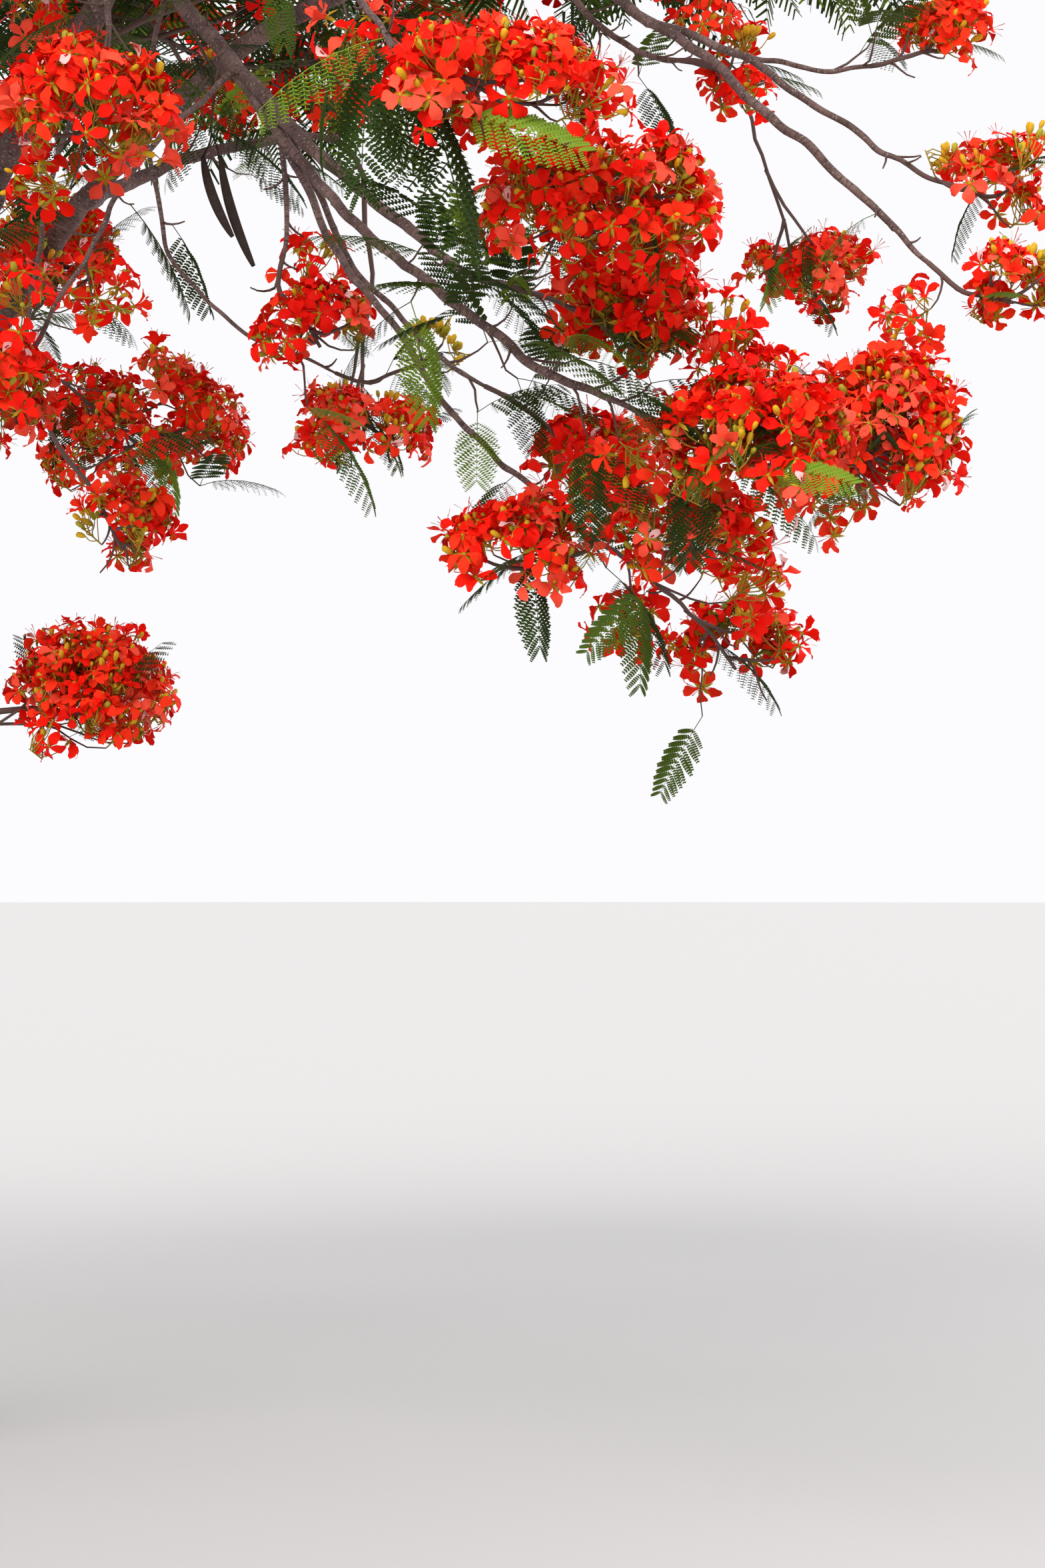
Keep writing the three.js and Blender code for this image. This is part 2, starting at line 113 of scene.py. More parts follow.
# name, where its light heads, strength, angular size in degrees and colour of each soft lamp
lamps = [
    ("key_light", (0.4, 0.82, -0.66), 2.8, 45, (1.0, 0.97, 0.94)),
    ("back_light", (-0.55, -0.6, -0.6), 1.5, 60, (0.97, 0.98, 1.0)),
]
for name, heading, strength, spread, colour in lamps:
    lamp = bpy.data.objects.new(name, bpy.data.lights.new(name, "SUN"))
    lamp.data.energy = strength
    lamp.data.angle = math.radians(spread)
    lamp.data.color = colour
    lamp.rotation_euler = Vector(heading).to_track_quat("-Z", "Y").to_euler()
    bpy.context.scene.collection.objects.link(lamp)

# Trunk and boughs. The real ones are smooth grey-brown wood, swollen where a bough leaves its parent, with
# low knots where twigs were shed and rows of pale pores. The foot flares into five root ribs at the flat cut.
fork_height = 1.56
trunk_radius = {"foot": 0.165, "fork": 0.118}
trunk_lean = np.array([0.055, -0.035, 0.0])
root_flare = {"out": 0.075, "height": 0.19, "ribs": 5, "rib_share": 0.32}
up = np.array([0.0, 0.0, 1.0])

# Each bough leaves the middle of its parent at a share of the parent's length: name, parent, share, tip, how
# far its middle stands off the straight line, and its radius at root and tip.
boughs = [
    ("front_bough", "trunk", 0.9, (1.15, -1.13, 3.9), (-0.06, 0.06, 0.33), (0.062, 0.025)),
    ("back_bough", "trunk", 0.93, (0.6, 1.5, 4.15), (-0.06, -0.13, 0.26), (0.058, 0.026)),
    ("back_left_bough", "trunk", 0.88, (-1.05, 1.15, 4.05), (0.09, -0.09, 0.26), (0.06, 0.026)),
    ("left_bough", "trunk", 0.95, (-1.25, -0.35, 3.98), (0.15, 0.04, 0.26), (0.052, 0.024)),
    ("front_left_bough", "trunk", 0.86, (-0.25, -1.6, 3.95), (0.02, 0.12, 0.26), (0.054, 0.024)),
    ("right_bough", "front_bough", 0.26, (2.09, -0.8, 4.04), (-0.17, 0.2, 0.42), (0.038, 0.02)),
    ("inner_bough", "back_bough", 0.3, (0.6, 0.42, 3.08), (0.02, -0.06, 0.04), (0.026, 0.013)),
    ("far_bough", "right_bough", 0.5, (1.59, 0.3, 3.72), (-0.04, 0.04, 0.04), (0.022, 0.011)),
    ("weeping_bough", "front_bough", 1, (2.03, -2.2, 2.9), (0.03, -0.04, -0.1), (0.022, 0.01)),
    ("near_bough", "front_bough", 1, (1.84, -2.8, 3.3), (0.08, -0.14, 0.06), (0.018, 0.009)),
    ("near_left_bough", "front_bough", 1, (1.22, -2.45, 3.33), (0.01, -0.21, 0.07), (0.013, 0.008)),
    ("middle_limb", "weeping_bough", 0.3, (2.41, -2.3, 2.58), (-0.05, -0.06, -0.1), (0.014, 0.009)),
    ("inner_limb", "weeping_bough", 0.46, (2.1, -1.7, 2.71), (-0.03, 0.0, -0.11), (0.009, 0.005)),
    ("long_limb", "middle_limb", 0.2, (2.27, -1.9, 2.37), (-0.06, -0.06, -0.06), (0.01, 0.006)),
    ("hooked_limb", "weeping_bough", 0.4, (1.51, -1.6, 2.98), (0.05, 0.0, 0.01), (0.008, 0.005)),
    ("crossing_limb", "weeping_bough", 0.34, (0.99, -1.9, 2.77), (0.0, -0.09, 0.06), (0.008, 0.005)),
    ("hanging_limb", "front_bough", 0.97, (1.01, -1.15, 2.62), (-0.15, -0.06, -0.18), (0.008, 0.005)),
    ("looping_limb", "weeping_bough", 0.12, (1.75, -1.45, 2.79), (-0.24, 0.0, -0.16), (0.007, 0.004)),
    ("right_limb", "right_bough", 1, (3.11, -1.6, 2.98), (0.0, -0.15, 0.02), (0.016, 0.008)),
    ("right_upper_limb", "right_limb", 0.36, (3.05, -1.5, 3.26), (-0.01, 0.0, 0.04), (0.011, 0.007)),
    ("right_top_limb", "right_upper_limb", 0.32, (3.02, -1.4, 3.56), (0.0, 0.02, -0.01), (0.007, 0.005)),
    ("top_limb", "right_bough", 1, (2.54, -0.7, 3.73), (0.04, 0.0, -0.13), (0.011, 0.007)),
]


def unit(directions):
    return directions / np.maximum(np.linalg.norm(directions, axis=-1, keepdims=True), 1e-12)


class Limb:
    """A curve of four control points, walked by its length, with its radius at each share of that length."""

    steps = np.linspace(0, 1, 201)
    nudge = 1e-4

    def __init__(self, controls, radius_at, parent=None, share=1.0):
        self.controls = np.array(controls, float)
        self.radius_at = radius_at
        self.parent = parent
        self.share = share

    def along(self, step):
        step = np.asarray(step, float)[..., None]
        a, b, c, d = self.controls
        rest = 1 - step
        return rest**3 * a + 3 * rest**2 * step * b + 3 * rest * step**2 * c + step**3 * d

    def runs(self):
        """The lengths of the curve's short steps."""
        return np.linalg.norm(np.diff(self.along(self.steps), axis=0), axis=1)

    def step_at(self, share):
        walked = np.concatenate([[0], np.cumsum(self.runs())])
        return np.interp(np.asarray(share, float) * walked[-1], walked, self.steps)

    def at(self, share):
        return self.along(self.step_at(share))

    def heading(self, share):
        step = self.step_at(share)
        ahead = self.along(np.minimum(step + self.nudge, 1))
        return unit(ahead - self.along(np.maximum(step - self.nudge, 0)))

    def length(self):
        return float(self.runs().sum())


def bowed(start, end, bow):
    """Control points from start to end for a curve whose middle stands off the straight line by bow."""
    chord = end - start
    lift = bow * 4 / 3
    return [start, start + chord / 3 + lift, start + chord * 2 / 3 + lift, end]


def trunk_radius_at(share, angle=0.0):
    taper = trunk_radius["foot"] + (trunk_radius["fork"] - trunk_radius["foot"]) * share
    rib = 1 + root_flare["rib_share"] * np.cos(root_flare["ribs"] * angle)
    return taper + root_flare["out"] * np.exp(-share * fork_height / root_flare["height"]) * rib


def taper_of(root, tip):
    return lambda share: root + (tip - root) * share


trunk_top = trunk_lean + up * fork_height
trunk_line = [up * 0, up * 0.35 * fork_height, trunk_lean * 0.9 + up * 0.7 * fork_height, trunk_top]
limbs = {"trunk": Limb(trunk_line, trunk_radius_at)}
for name, parent, share, tip, bow, radius in boughs:
    line = bowed(limbs[parent].at(share), np.array(tip), np.array(bow))
    limbs[name] = Limb(line, taper_of(*radius), parent, share)


def shape_of(bm):
    """A finished bmesh as a shape: its points, its faces' corners in a row, and each face's corner count."""
    bm.verts.index_update()
    points = np.array([vert.co for vert in bm.verts])
    # sorted, because a sphere's faces are listed in another order in each run
    faces = sorted([vert.index for vert in face.verts] for face in bm.faces)
    bm.free()
    return points, np.concatenate(faces), np.array([len(face) for face in faces])


def copies(placed, shape):
    """A shape's copies as one shape, from the placed points of each copy."""
    points, corners, sizes = shape
    steps = len(points) * np.arange(len(placed))
    return placed.reshape(-1, 3), (corners + steps[:, None]).ravel(), np.tile(sizes, len(placed))


def merged(shapes):
    starts = np.cumsum([0] + [len(points) for points, corners, sizes in shapes])
    points = np.concatenate([shape[0] for shape in shapes])
    corners = np.concatenate([shape[1] + start for shape, start in zip(shapes, starts)])
    return points, corners, np.concatenate([shape[2] for shape in shapes])


def unit_tube(sides, rings):
    """A closed tube of radius 1 from 0 to 1 along Z."""
    bm = bmesh.new()
    bmesh.ops.create_cone(bm, cap_ends=True, segments=sides, radius1=1, radius2=1, depth=1)
    lengthways = [edge for edge in bm.edges if abs(edge.verts[0].co.z - edge.verts[1].co.z) > 0.5]
    if rings > 2:
        bmesh.ops.subdivide_edges(bm, edges=lengthways, cuts=rings - 2)
    bmesh.ops.translate(bm, verts=bm.verts, vec=(0, 0, 0.5))
    return shape_of(bm)


def swept(lines, radii, sides, first_across=None):
    """Tubes along rows of points, each row with its own radii, their rings carried along without a twist."""
    lines = np.asarray(lines, float)
    rows, rings = lines.shape[:2]
    tube = unit_tube(sides, rings)
    points = tube[0]
    ring = np.round(points[:, 2] * (rings - 1)).astype(int)
    headings = unit(np.gradient(lines, axis=1))
    if first_across is None:
        least = np.eye(3)[np.abs(headings[:, 0]).argmin(axis=1)]
        first_across = np.cross(headings[:, 0], least)
    across = np.zeros_like(lines)
    carried = np.broadcast_to(first_across, (rows, 3))
    for k in range(rings):
        carried = unit(carried - headings[:, k] * (carried * headings[:, k]).sum(1, keepdims=True))
        across[:, k] = carried
    sideways = np.cross(headings, across)
    spokes = across[:, ring] * points[:, 0, None] + sideways[:, ring] * points[:, 1, None]
    return copies(lines[:, ring] + spokes * np.asarray(radii, float)[:, ring, None], tube)


# how far the wood strays from its curve in metres and how close its turns follow, in slow bends and in small
# kinks, and the heights between which they set in; the seed settles where they lie
crook_bends = [(0.022, 4.2), (0.008, 13.0)]
crook_heights = (0.3, 1.1)
crook_seed = 20417
noise.seed_set(crook_seed)


def crooked(points):
    """The points pushed about by one field of bends, so that wood that meets still meets."""
    flat = np.array(points, float).reshape(-1, 3)
    low, high = crook_heights
    weight = np.clip((flat[:, 2:] - low) / (high - low), 0, 1)
    pushed = flat.copy()
    for reach, scale in crook_bends:
        pushed += reach * weight * np.array([noise.noise_vector(Vector(point) * scale) for point in flat])
    return pushed.reshape(np.shape(points))


def joined_piece(name, shapes, finish, nodes, smooth=True):
    """One mesh from many shapes, riding on the tree in place of the frame's nodes."""
    points, corners, sizes = merged(shapes)
    mesh = bpy.data.meshes.new(name)
    mesh.vertices.add(len(points))
    mesh.vertices.foreach_set("co", points.ravel().astype(np.float32))
    mesh.loops.add(len(corners))
    mesh.loops.foreach_set("vertex_index", corners.astype(np.int32))
    mesh.polygons.add(len(sizes))
    mesh.polygons.foreach_set("loop_start", np.concatenate([[0], np.cumsum(sizes)[:-1]]).astype(np.int32))
    mesh.polygons.foreach_set("use_smooth", np.full(len(sizes), smooth))
    mesh.update(calc_edges=True)
    mesh.materials.append(finish)
    piece = bpy.data.objects.new(name, mesh)
    bpy.context.scene.collection.objects.link(piece)
    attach(piece, "root")
    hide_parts(*nodes)
    return piece


draw_range = 2**32


def random_row(start):
    """A seeded row of numbers from 0 to 1, the same in every run."""
    state = start % draw_range

    def draw():
        nonlocal state
        state = (state * 1664525 + 1013904223) % draw_range
        return state / draw_range

    return draw


# a limb's slow swellings and small lumps: how close they follow and how high they stand, by the limb's radius
swellings = {"pace": 0.32, "height": 0.075}
lumps = {"pace": 1.3, "height": 0.03}
least_paced_radius = 0.012
# knots of shed twigs: their spacing in metres, their least height and how much more they may have, the
# thickest wood that they still grow with, and how far each spreads along the limb and round it
knot_rule = {"spacing": 0.16, "least": 0.12, "more": 0.22, "thickest": 0.06, "along": 0.9, "round": 0.65}
# the skin: its faces' width in metres, its sides at least and at most, and the spacing of its rings
skin_rule = {"face": 0.0105, "sides": (9, 36), "trunk_sides": 72, "stretch": 1.25, "spacing": (0.009, 0.0145)}
# the collar round a bough's root, and how a limb thins on its last stretch and closes at its tip
collar_rule = {"within": 0.8, "most": 0.55, "parent": 0.9, "fade": 1.5}
thinning_rule = {"from": 0.82, "over": 0.18, "by": 0.45}
closing_length = 1.1


def weathered(points, radii, limb_length, walked, angles, seed):
    """How far each point of a limb stands proud: slow swellings, small lumps, and knots of shed twigs."""
    proud = np.zeros(len(points))
    for i, (point, radius) in enumerate(zip(points, radii)):
        paced = max(radius, least_paced_radius)
        slow = noise.noise(Vector(point) * (swellings["pace"] / paced))
        small = noise.noise(Vector(point) * (lumps["pace"] / paced))
        proud[i] = radius * (swellings["height"] * slow + lumps["height"] * small)
    draw = random_row(seed)
    for _ in range(int(limb_length / knot_rule["spacing"])):
        place = draw() * limb_length
        turn = draw() * math.tau
        height = np.minimum(radii, knot_rule["thickest"]) * (knot_rule["least"] + knot_rule["more"] * draw())
        away = (walked - place) / np.maximum(radii * knot_rule["along"], 0.005)
        round_it = (angles - turn + math.pi) % math.tau - math.pi
        proud += height * np.exp(-(away**2) - (round_it / knot_rule["round"]) ** 2)
    return proud


def bark_shape(number, limb):
    """One limb's skin, and the place of each of its points on the limb as if it were straight."""
    is_trunk = limb.parent is None
    length = limb.length()
    root_radius = float(limb.radius_at(0.35 if is_trunk else 0.0))
    girth = math.tau * root_radius
    sides = skin_rule["trunk_sides"]
    if not is_trunk:
        sides = int(np.clip(round(girth / skin_rule["face"]), *skin_rule["sides"]))
    spacing = float(np.clip(skin_rule["stretch"] * girth / sides, *skin_rule["spacing"]))
    rings = int(length / spacing) + 1
    shares = np.linspace(0, 1, rings)
    line = crooked(limb.at(shares))
    first_across = np.array([0.0, -1.0, 0.0]) if is_trunk else None
    points, corners, sizes = swept([line], np.ones((1, rings)), sides, first_across)
    tube = unit_tube(sides, rings)[0]
    ring = np.round(tube[:, 2] * (rings - 1)).astype(int)
    angles = np.arctan2(tube[:, 1], tube[:, 0])
    walked = shares[ring] * length
    radii = limb.radius_at(shares[ring], angles) if is_trunk else limb.radius_at(shares[ring])
    if not is_trunk and limb.share < 1:
        parent_radius = float(limbs[limb.parent].radius_at(limb.share))
        beyond = np.maximum(walked - collar_rule["within"] * parent_radius, 0)
        swelling = min(collar_rule["most"] * root_radius, parent_radius * collar_rule["parent"] - root_radius)
        radii = radii + swelling * np.exp(-beyond / (collar_rule["fade"] * root_radius))
    if limb not in carriers:
        last = np.clip((shares[ring] - thinning_rule["from"]) / thinning_rule["over"], 0, 1)
        radii = radii * (1 - thinning_rule["by"] * last**2 * (3 - 2 * last))
    closing = np.clip((length - walked) / (closing_length * radii), 0, 1)
    closed = np.sqrt(np.clip(1 - (1 - closing) ** 2, 0.02, 1))
    centres = line[ring]
    spokes = points - centres
    proud = weathered(centres + spokes * radii[:, None], radii, length, walked, angles, 811 * number + 5)
    placed = centres + spokes * ((radii + proud) * closed)[:, None]
    if is_trunk:
        placed[ring == 0, 2] = 0.0
    # each limb's grain starts at a height of its own, so that no two limbs look alike
    grain = np.stack([np.cos(angles) * radii, np.sin(angles) * radii, walked + 7.3 * number], axis=1)
    return (placed, corners, sizes), grain


def add_node(tree, kind, **settings):
    node = tree.nodes.new(kind)
    for name, value in settings.items():
        setattr(node, name, value)
    return node


def ramp_of(tree, source, *stops):
    """A colour ramp on a source: each stop is a place and a colour."""
    ramp = add_node(tree, "ShaderNodeValToRGB")
    tree.links.new(source, ramp.inputs["Fac"])
    while len(ramp.color_ramp.elements) < len(stops):
        ramp.color_ramp.elements.new(0.5)
    for element, (place, colour) in zip(ramp.color_ramp.elements, stops):
        element.position = place
        element.color = (*colour, 1)
    return ramp.outputs["Color"]


def scaled(tree, source, scale):
    mapping = add_node(tree, "ShaderNodeMapping")
    tree.links.new(source, mapping.inputs["Vector"])
    mapping.inputs["Scale"].default_value = scale
    return mapping.outputs["Vector"]


def noise_on(tree, source, scale, detail=3.0, roughness=0.55):
    texture = add_node(tree, "ShaderNodeTexNoise")
    tree.links.new(source, texture.inputs["Vector"])
    texture.inputs["Scale"].default_value = scale
    texture.inputs["Detail"].default_value = detail
    texture.inputs["Roughness"].default_value = roughness
    return texture.outputs["Fac"]


def blended(tree, amount, under, colour):
    """A plain colour over a coloured source, by an amount."""
    mix = add_node(tree, "ShaderNodeMix", data_type="RGBA")
    tree.links.new(amount, mix.inputs["Factor"])
    tree.links.new(under, mix.inputs[6])
    mix.inputs[7].default_value = (*colour, 1)
    return mix.outputs[2]


def bump_on(tree, height, strength, distance):
    """Fine relief in a surface from a source of heights."""
    bump = add_node(tree, "ShaderNodeBump")
    bump.inputs["Strength"].default_value = strength
    bump.inputs["Distance"].default_value = distance
    tree.links.new(height, bump.inputs["Height"])
    return bump


bark, bark_tree, bark_shader = new_finish("grey_brown_bark")
grain_input = add_node(bark_tree, "ShaderNodeAttribute", attribute_name="grain").outputs["Vector"]
patches = noise_on(bark_tree, grain_input, 9.0, 5.0, 0.6)
patch_colour = ramp_of(
    bark_tree, patches, (0.3, (0.055, 0.031, 0.028)), (0.5, (0.13, 0.075, 0.066)), (0.72, (0.25, 0.155, 0.14))
)
wrinkles = noise_on(bark_tree, scaled(bark_tree, grain_input, (55, 55, 210)), 1.0, 4.0, 0.65)
wrinkle_mask = ramp_of(bark_tree, wrinkles, (0.36, (1, 1, 1)), (0.5, (0, 0, 0)))
wrinkle_colour = blended(bark_tree, wrinkle_mask, patch_colour, (0.04, 0.025, 0.022))
pores = add_node(bark_tree, "ShaderNodeTexVoronoi")
bark_tree.links.new(scaled(bark_tree, grain_input, (70, 70, 115)), pores.inputs["Vector"])
pores.inputs["Scale"].default_value = 1.0
pore_mask = ramp_of(bark_tree, pores.outputs["Distance"], (0.12, (1, 1, 1)), (0.26, (0, 0, 0)))
bark_colour = blended(bark_tree, pore_mask, wrinkle_colour, (0.3, 0.235, 0.2))
bark_tree.links.new(bark_colour, bark_shader.inputs["Base Color"])
bark_roughness = ramp_of(bark_tree, patches, (0.3, (0.9, 0.9, 0.9)), (0.75, (0.68, 0.68, 0.68)))
bark_tree.links.new(bark_roughness, bark_shader.inputs["Roughness"])
wrinkle_bump = bump_on(bark_tree, wrinkles, 0.6, 0.0025)
pore_bump = bump_on(bark_tree, pore_mask, 0.5, 0.0015)
bark_tree.links.new(wrinkle_bump.outputs["Normal"], pore_bump.inputs["Normal"])
bark_tree.links.new(pore_bump.outputs["Normal"], bark_shader.inputs["Normal"])

heavy_radius = 0.03
heavy_limbs = ["trunk"] + [name for name, *_, radius in boughs if radius[0] > heavy_radius]
light_limbs = [name for name in limbs if name not in heavy_limbs]
# the limbs from whose tip other boughs go on
carriers = [limbs["trunk"]] + [limbs[parent] for name, parent, share, *_ in boughs if share == 1]
for piece_name, names in (("trunk_and_boughs", heavy_limbs), ("weeping_limbs", light_limbs)):
    skins = [bark_shape(list(limbs).index(name), limbs[name]) for name in names]
    piece = joined_piece(piece_name, [shape for shape, grain in skins], bark, names)
    grain_places = np.concatenate([grain for shape, grain in skins]).ravel().astype(np.float32)
    piece.data.attributes.new("grain", "FLOAT_VECTOR", "POINT").data.foreach_set("vector", grain_places)

# How the crown grows. On the real tree each bough's end carries a cloud of twigs. Here each such mass keeps
# to an ellipsoid of its own. A stem runs into it from its bough's tip, twigs fan out of the stem to its skin
# by the golden angle, and each ends in a truss of blossom or a leafy tip.

# The weeping side's masses: name, bough, centre, reach, and the share of its twigs in blossom.
weeping_masses = [
    ("near_crest", "near_bough", (2.06, -2.93, 3.19), (0.25, 0.19, 0.125), 1),
    ("near_shoulder", "near_bough", (2.26, -2.6, 2.99), (0.265, 0.2, 0.165), 1),
    ("elbow", "weeping_bough", (2.31, -2.23, 2.835), (0.19, 0.16, 0.135), 1),
    ("heart", "middle_limb", (2.6, -2.47, 2.54), (0.22, 0.17, 0.16), 1),
    ("right_head", "middle_limb", (2.92, -1.85, 2.62), (0.185, 0.19, 0.22), 1),
    ("under_heart", "middle_limb", (2.47, -2.06, 2.36), (0.19, 0.15, 0.13), 1),
    ("inner_cluster", "inner_limb", (2.25, -1.6, 2.575), (0.17, 0.15, 0.13), 0.8),
    ("lower_left", "long_limb", (2.105, -1.93, 2.345), (0.195, 0.15, 0.14), 1),
    ("drop", "long_limb", (2.61, -1.4, 2.15), (0.175, 0.14, 0.155), 0.8),
    ("hooked_cluster", "hooked_limb", (1.63, -1.6, 2.88), (0.16, 0.14, 0.12), 1),
    ("bud_spray", "looping_limb", (1.88, -1.5, 2.85), (0.11, 0.11, 0.09), 0.5),
    ("low_pair", "far_bough", (1.67, -0.15, 2.815), (0.23, 0.18, 0.15), 0.8),
    ("near_left", "near_left_bough", (1.215, -2.7, 3.17), (0.2, 0.19, 0.16), 1),
    ("left_edge", "crossing_limb", (0.93, -1.95, 2.71), (0.16, 0.15, 0.14), 0.8),
    ("left_drop", "hanging_limb", (1.12, -1.18, 2.45), (0.14, 0.13, 0.135), 0.6),
    ("inner_high", "inner_bough", (0.73, 0.7, 3.4), (0.195, 0.2, 0.215), 1),
    ("inner_row", "inner_bough", (0.98, 0.78, 2.935), (0.33, 0.25, 0.25), 1),
    ("low_arch", "trunk", (0.92, -0.1, 2.11), (0.245, 0.21, 0.195), 1),
    ("far_right", "top_limb", (2.89, 0.25, 3.3), (0.205, 0.17, 0.12), 1),
    ("top_cluster", "top_limb", (2.685, -0.65, 3.685), (0.146, 0.14, 0.16), 0.7),
    ("right_top", "right_top_limb", (3.125, -1.3, 3.645), (0.13, 0.13, 0.115), 1),
    ("right_upper", "right_upper_limb", (3.19, -1.53, 3.24), (0.18, 0.15, 0.135), 1),
    ("right_lower", "right_limb", (3.24, -1.63, 2.985), (0.145, 0.14, 0.112), 1),
]
# the one mass that the trunk itself carries: where its stem leaves, how thick it is, and how high it arches
trunk_shoot = {"name": "low_arch", "share": 0.94, "stem": 0.015, "arch": 0.3}
crown_radius = 3.0
crown_top = 4.96
dome_fall = 0.48
crown_tilt = 0.12
crown_blossom = 0.7
# the umbrella's rings about the trunk: name, radius, azimuths in degrees, reach, and the boughs that carry it
crown_rings = [
    ("dome", 0.12, (60,), (1.05, 1.05, 0.35), ("back_left_bough",)),
    ("upper", 1.45, (40, 165, 285), (0.92, 0.92, 0.38), ("back_bough", "left_bough", "front_left_bough")),
    ("over_path", 2.5, (-50, -14), (0.82, 0.82, 0.33), ("front_bough", "right_bough")),
    (
        "rim",
        crown_radius,
        (30, 70, 110, 150, 190, 230, 270),
        (1.0, 1.0, 0.46),
        ("back_bough",) * 2 + ("back_left_bough",) * 2 + ("left_bough",) + ("front_left_bough",) * 2,
    ),
]
truss_rule = {"share": 0.62, "least": 0.078, "most": 0.235, "depth": 0.75}
blade_rule = {"share": 2.1, "least": 0.19, "most": 0.64, "width": 0.4, "sizes": (1, 0.75, 0.5)}
twig_rule = {"root": 0.0055, "taper": 0.45, "bow": 0.1, "beside": 0.6}
stem_rule = {"steps": 3, "taper": 0.55, "bare": 0.5, "alone": 0.8, "mate": 0.42, "radii": (0.0035, 0.015)}
growth_rules = {
    "weeping": {"per_twig": 0.046, "least": 3, "most": 4, "thick": 1.0, "chance": 0.25, "alone": (0.97,)},
    "crown": {"per_twig": 0.06, "least": 6, "most": 6, "thick": 1.7, "chance": 0.45, "alone": (0.5, 0.97)},
}
golden_angle = 2.399963
# the height from which places on a mass's skin run down, and by how much, as shares of its reach
skin_top = 0.92
skin_span = 1.35
# how far out of its ellipsoid a mass may come, and the least gap to what others have taken
mass_room = 1.02
clear_gap = 0.001
first_seed = 20417


def row_for(plan, stage=0):
    """A mass's own seeded row of numbers for one stage of its growth."""
    return random_row(first_seed + 977 * plan["number"] + stage)


def plan_mass(number, name, on, centre, reach, blossom, kind):
    """A mass's stem: out of its bough, towards its own space, and up into it."""
    shoot = trunk_shoot if name == trunk_shoot["name"] else None
    limb = limbs[on]
    centre, reach = np.array(centre), np.array(reach)
    root = limb.at(shoot["share"] if shoot else 1.0)
    end = centre - up * 0.3 * reach[2]
    run = end - root
    heading = unit(run) if shoot else limb.heading(1.0)
    lead = unit(heading * 0.3 + unit(run) * 0.7)
    span = float(np.linalg.norm(run))
    lift = up * (shoot["arch"] if shoot else 0.08) * span
    line = [root, root + lead * 0.3 * span + lift, end - 0.3 * run + lift, end]
    return {
        "name": name, "number": number, "kind": kind, "on": on, "centre": centre, "reach": reach,
        "blossom": blossom, "heading": heading, "line": line, "stem_radius": shoot["stem"] if shoot else 0.0,
    }


plans = [plan_mass(i, *mass, "weeping") for i, mass in enumerate(weeping_masses)]
for name, radius, azimuths, reach, ring_boughs in crown_rings:
    for k, (azimuth, bough) in enumerate(zip(azimuths, ring_boughs)):
        x = radius * math.cos(math.radians(azimuth))
        y = radius * math.sin(math.radians(azimuth))
        z = crown_top - dome_fall * (radius / crown_radius) ** 2 + crown_tilt * x
        full_name = f"{name}_{k + 1}" if len(azimuths) > 1 else name
        plans.append(plan_mass(len(plans), full_name, bough, (x, y, z), reach, crown_blossom, "crown"))

for plan in plans:
    # stems that share a bough's tip stand side by side on its end, each towards its own mass
    if not plan["stem_radius"]:
        mates = sum(other["on"] == plan["on"] for other in plans)
        mates += sum(parent == plan["on"] and share == 1 for name, parent, share, *_ in boughs)
        tip_radius = float(limbs[plan["on"]].radius_at(1.0))
        thick = tip_radius * stem_rule["alone" if mates == 1 else "mate"]
        plan["stem_radius"] = float(np.clip(thick, *stem_rule["radii"]))
        aside = plan["centre"] - plan["line"][0]
        aside = unit(aside - plan["heading"] * (aside @ plan["heading"]))
        move = aside * (0 if mates == 1 else tip_radius - plan["stem_radius"]) - plan["heading"] * 0.002
        plan["line"][:2] = [control + move for control in plan["line"][:2]]
    stem_tip = plan["stem_radius"] * (1 - stem_rule["taper"])
    plan["stem"] = Limb(plan["line"], taper_of(plan["stem_radius"], stem_tip))

taken = {"owner": [], "start": [], "end": [], "radius": []}


def take(owner, start, end, radius):
    """Keeps a straight stretch with a radius as no longer free for other masses."""
    for key, value in (("owner", owner), ("start", start), ("end", end), ("radius", radius)):
        taken[key].append(value)


def is_clear(owner, start, end, radius, wood_only=False):
    """Whether a stretch stays clear of all that others have taken, or only of the limbs and stems."""
    looked_at = taken["owner"][:wood_count] if wood_only else taken["owner"]
    others = [i for i, name in enumerate(looked_at) if name != owner]
    starts = np.array(taken["start"])[others]
    theirs = np.array(taken["end"])[others] - starts
    mine = end - start
    between = start - starts
    uu, vv, uv = mine @ mine, (theirs**2).sum(1), theirs @ mine
    uw, vw = between @ mine, (theirs * between).sum(1)
    flat = uu * vv - uv * uv
    s = np.where(flat > 1e-18, np.clip((uv * vw - vv * uw) / np.maximum(flat, 1e-18), 0, 1), 0)
    t = np.clip((uv * s + vw) / vv, 0, 1)
    s = np.clip((uv * t - uw) / uu, 0, 1)
    gaps = np.linalg.norm(between + mine * s[:, None] - theirs * t[:, None], axis=1)
    return bool((gaps > radius + np.array(taken["radius"])[others] + clear_gap).all())


def is_inside(plan, point):
    return float(np.linalg.norm((point - plan["centre"]) / plan["reach"])) <= mass_room


def take_limb(owner, limb, steps):
    places = limb.at(np.linspace(0, 1, steps + 1))
    for k in range(steps):
        take(owner, places[k], places[k + 1], float(limb.radius_at(k / steps)))


limb_steps = 8
for name, limb in limbs.items():
    take_limb(name, limb, limb_steps)
for plan in plans:
    take_limb(plan["name"], plan["stem"], stem_rule["steps"])
wood_count = len(taken["owner"])


def on_rings(limb, steps, share):
    """A point on the straight line between a limb's rings."""
    ring = min(int(share * steps), steps - 1)
    below, above = limb.at(ring / steps), limb.at((ring + 1) / steps)
    return below + (above - below) * (share * steps - ring)


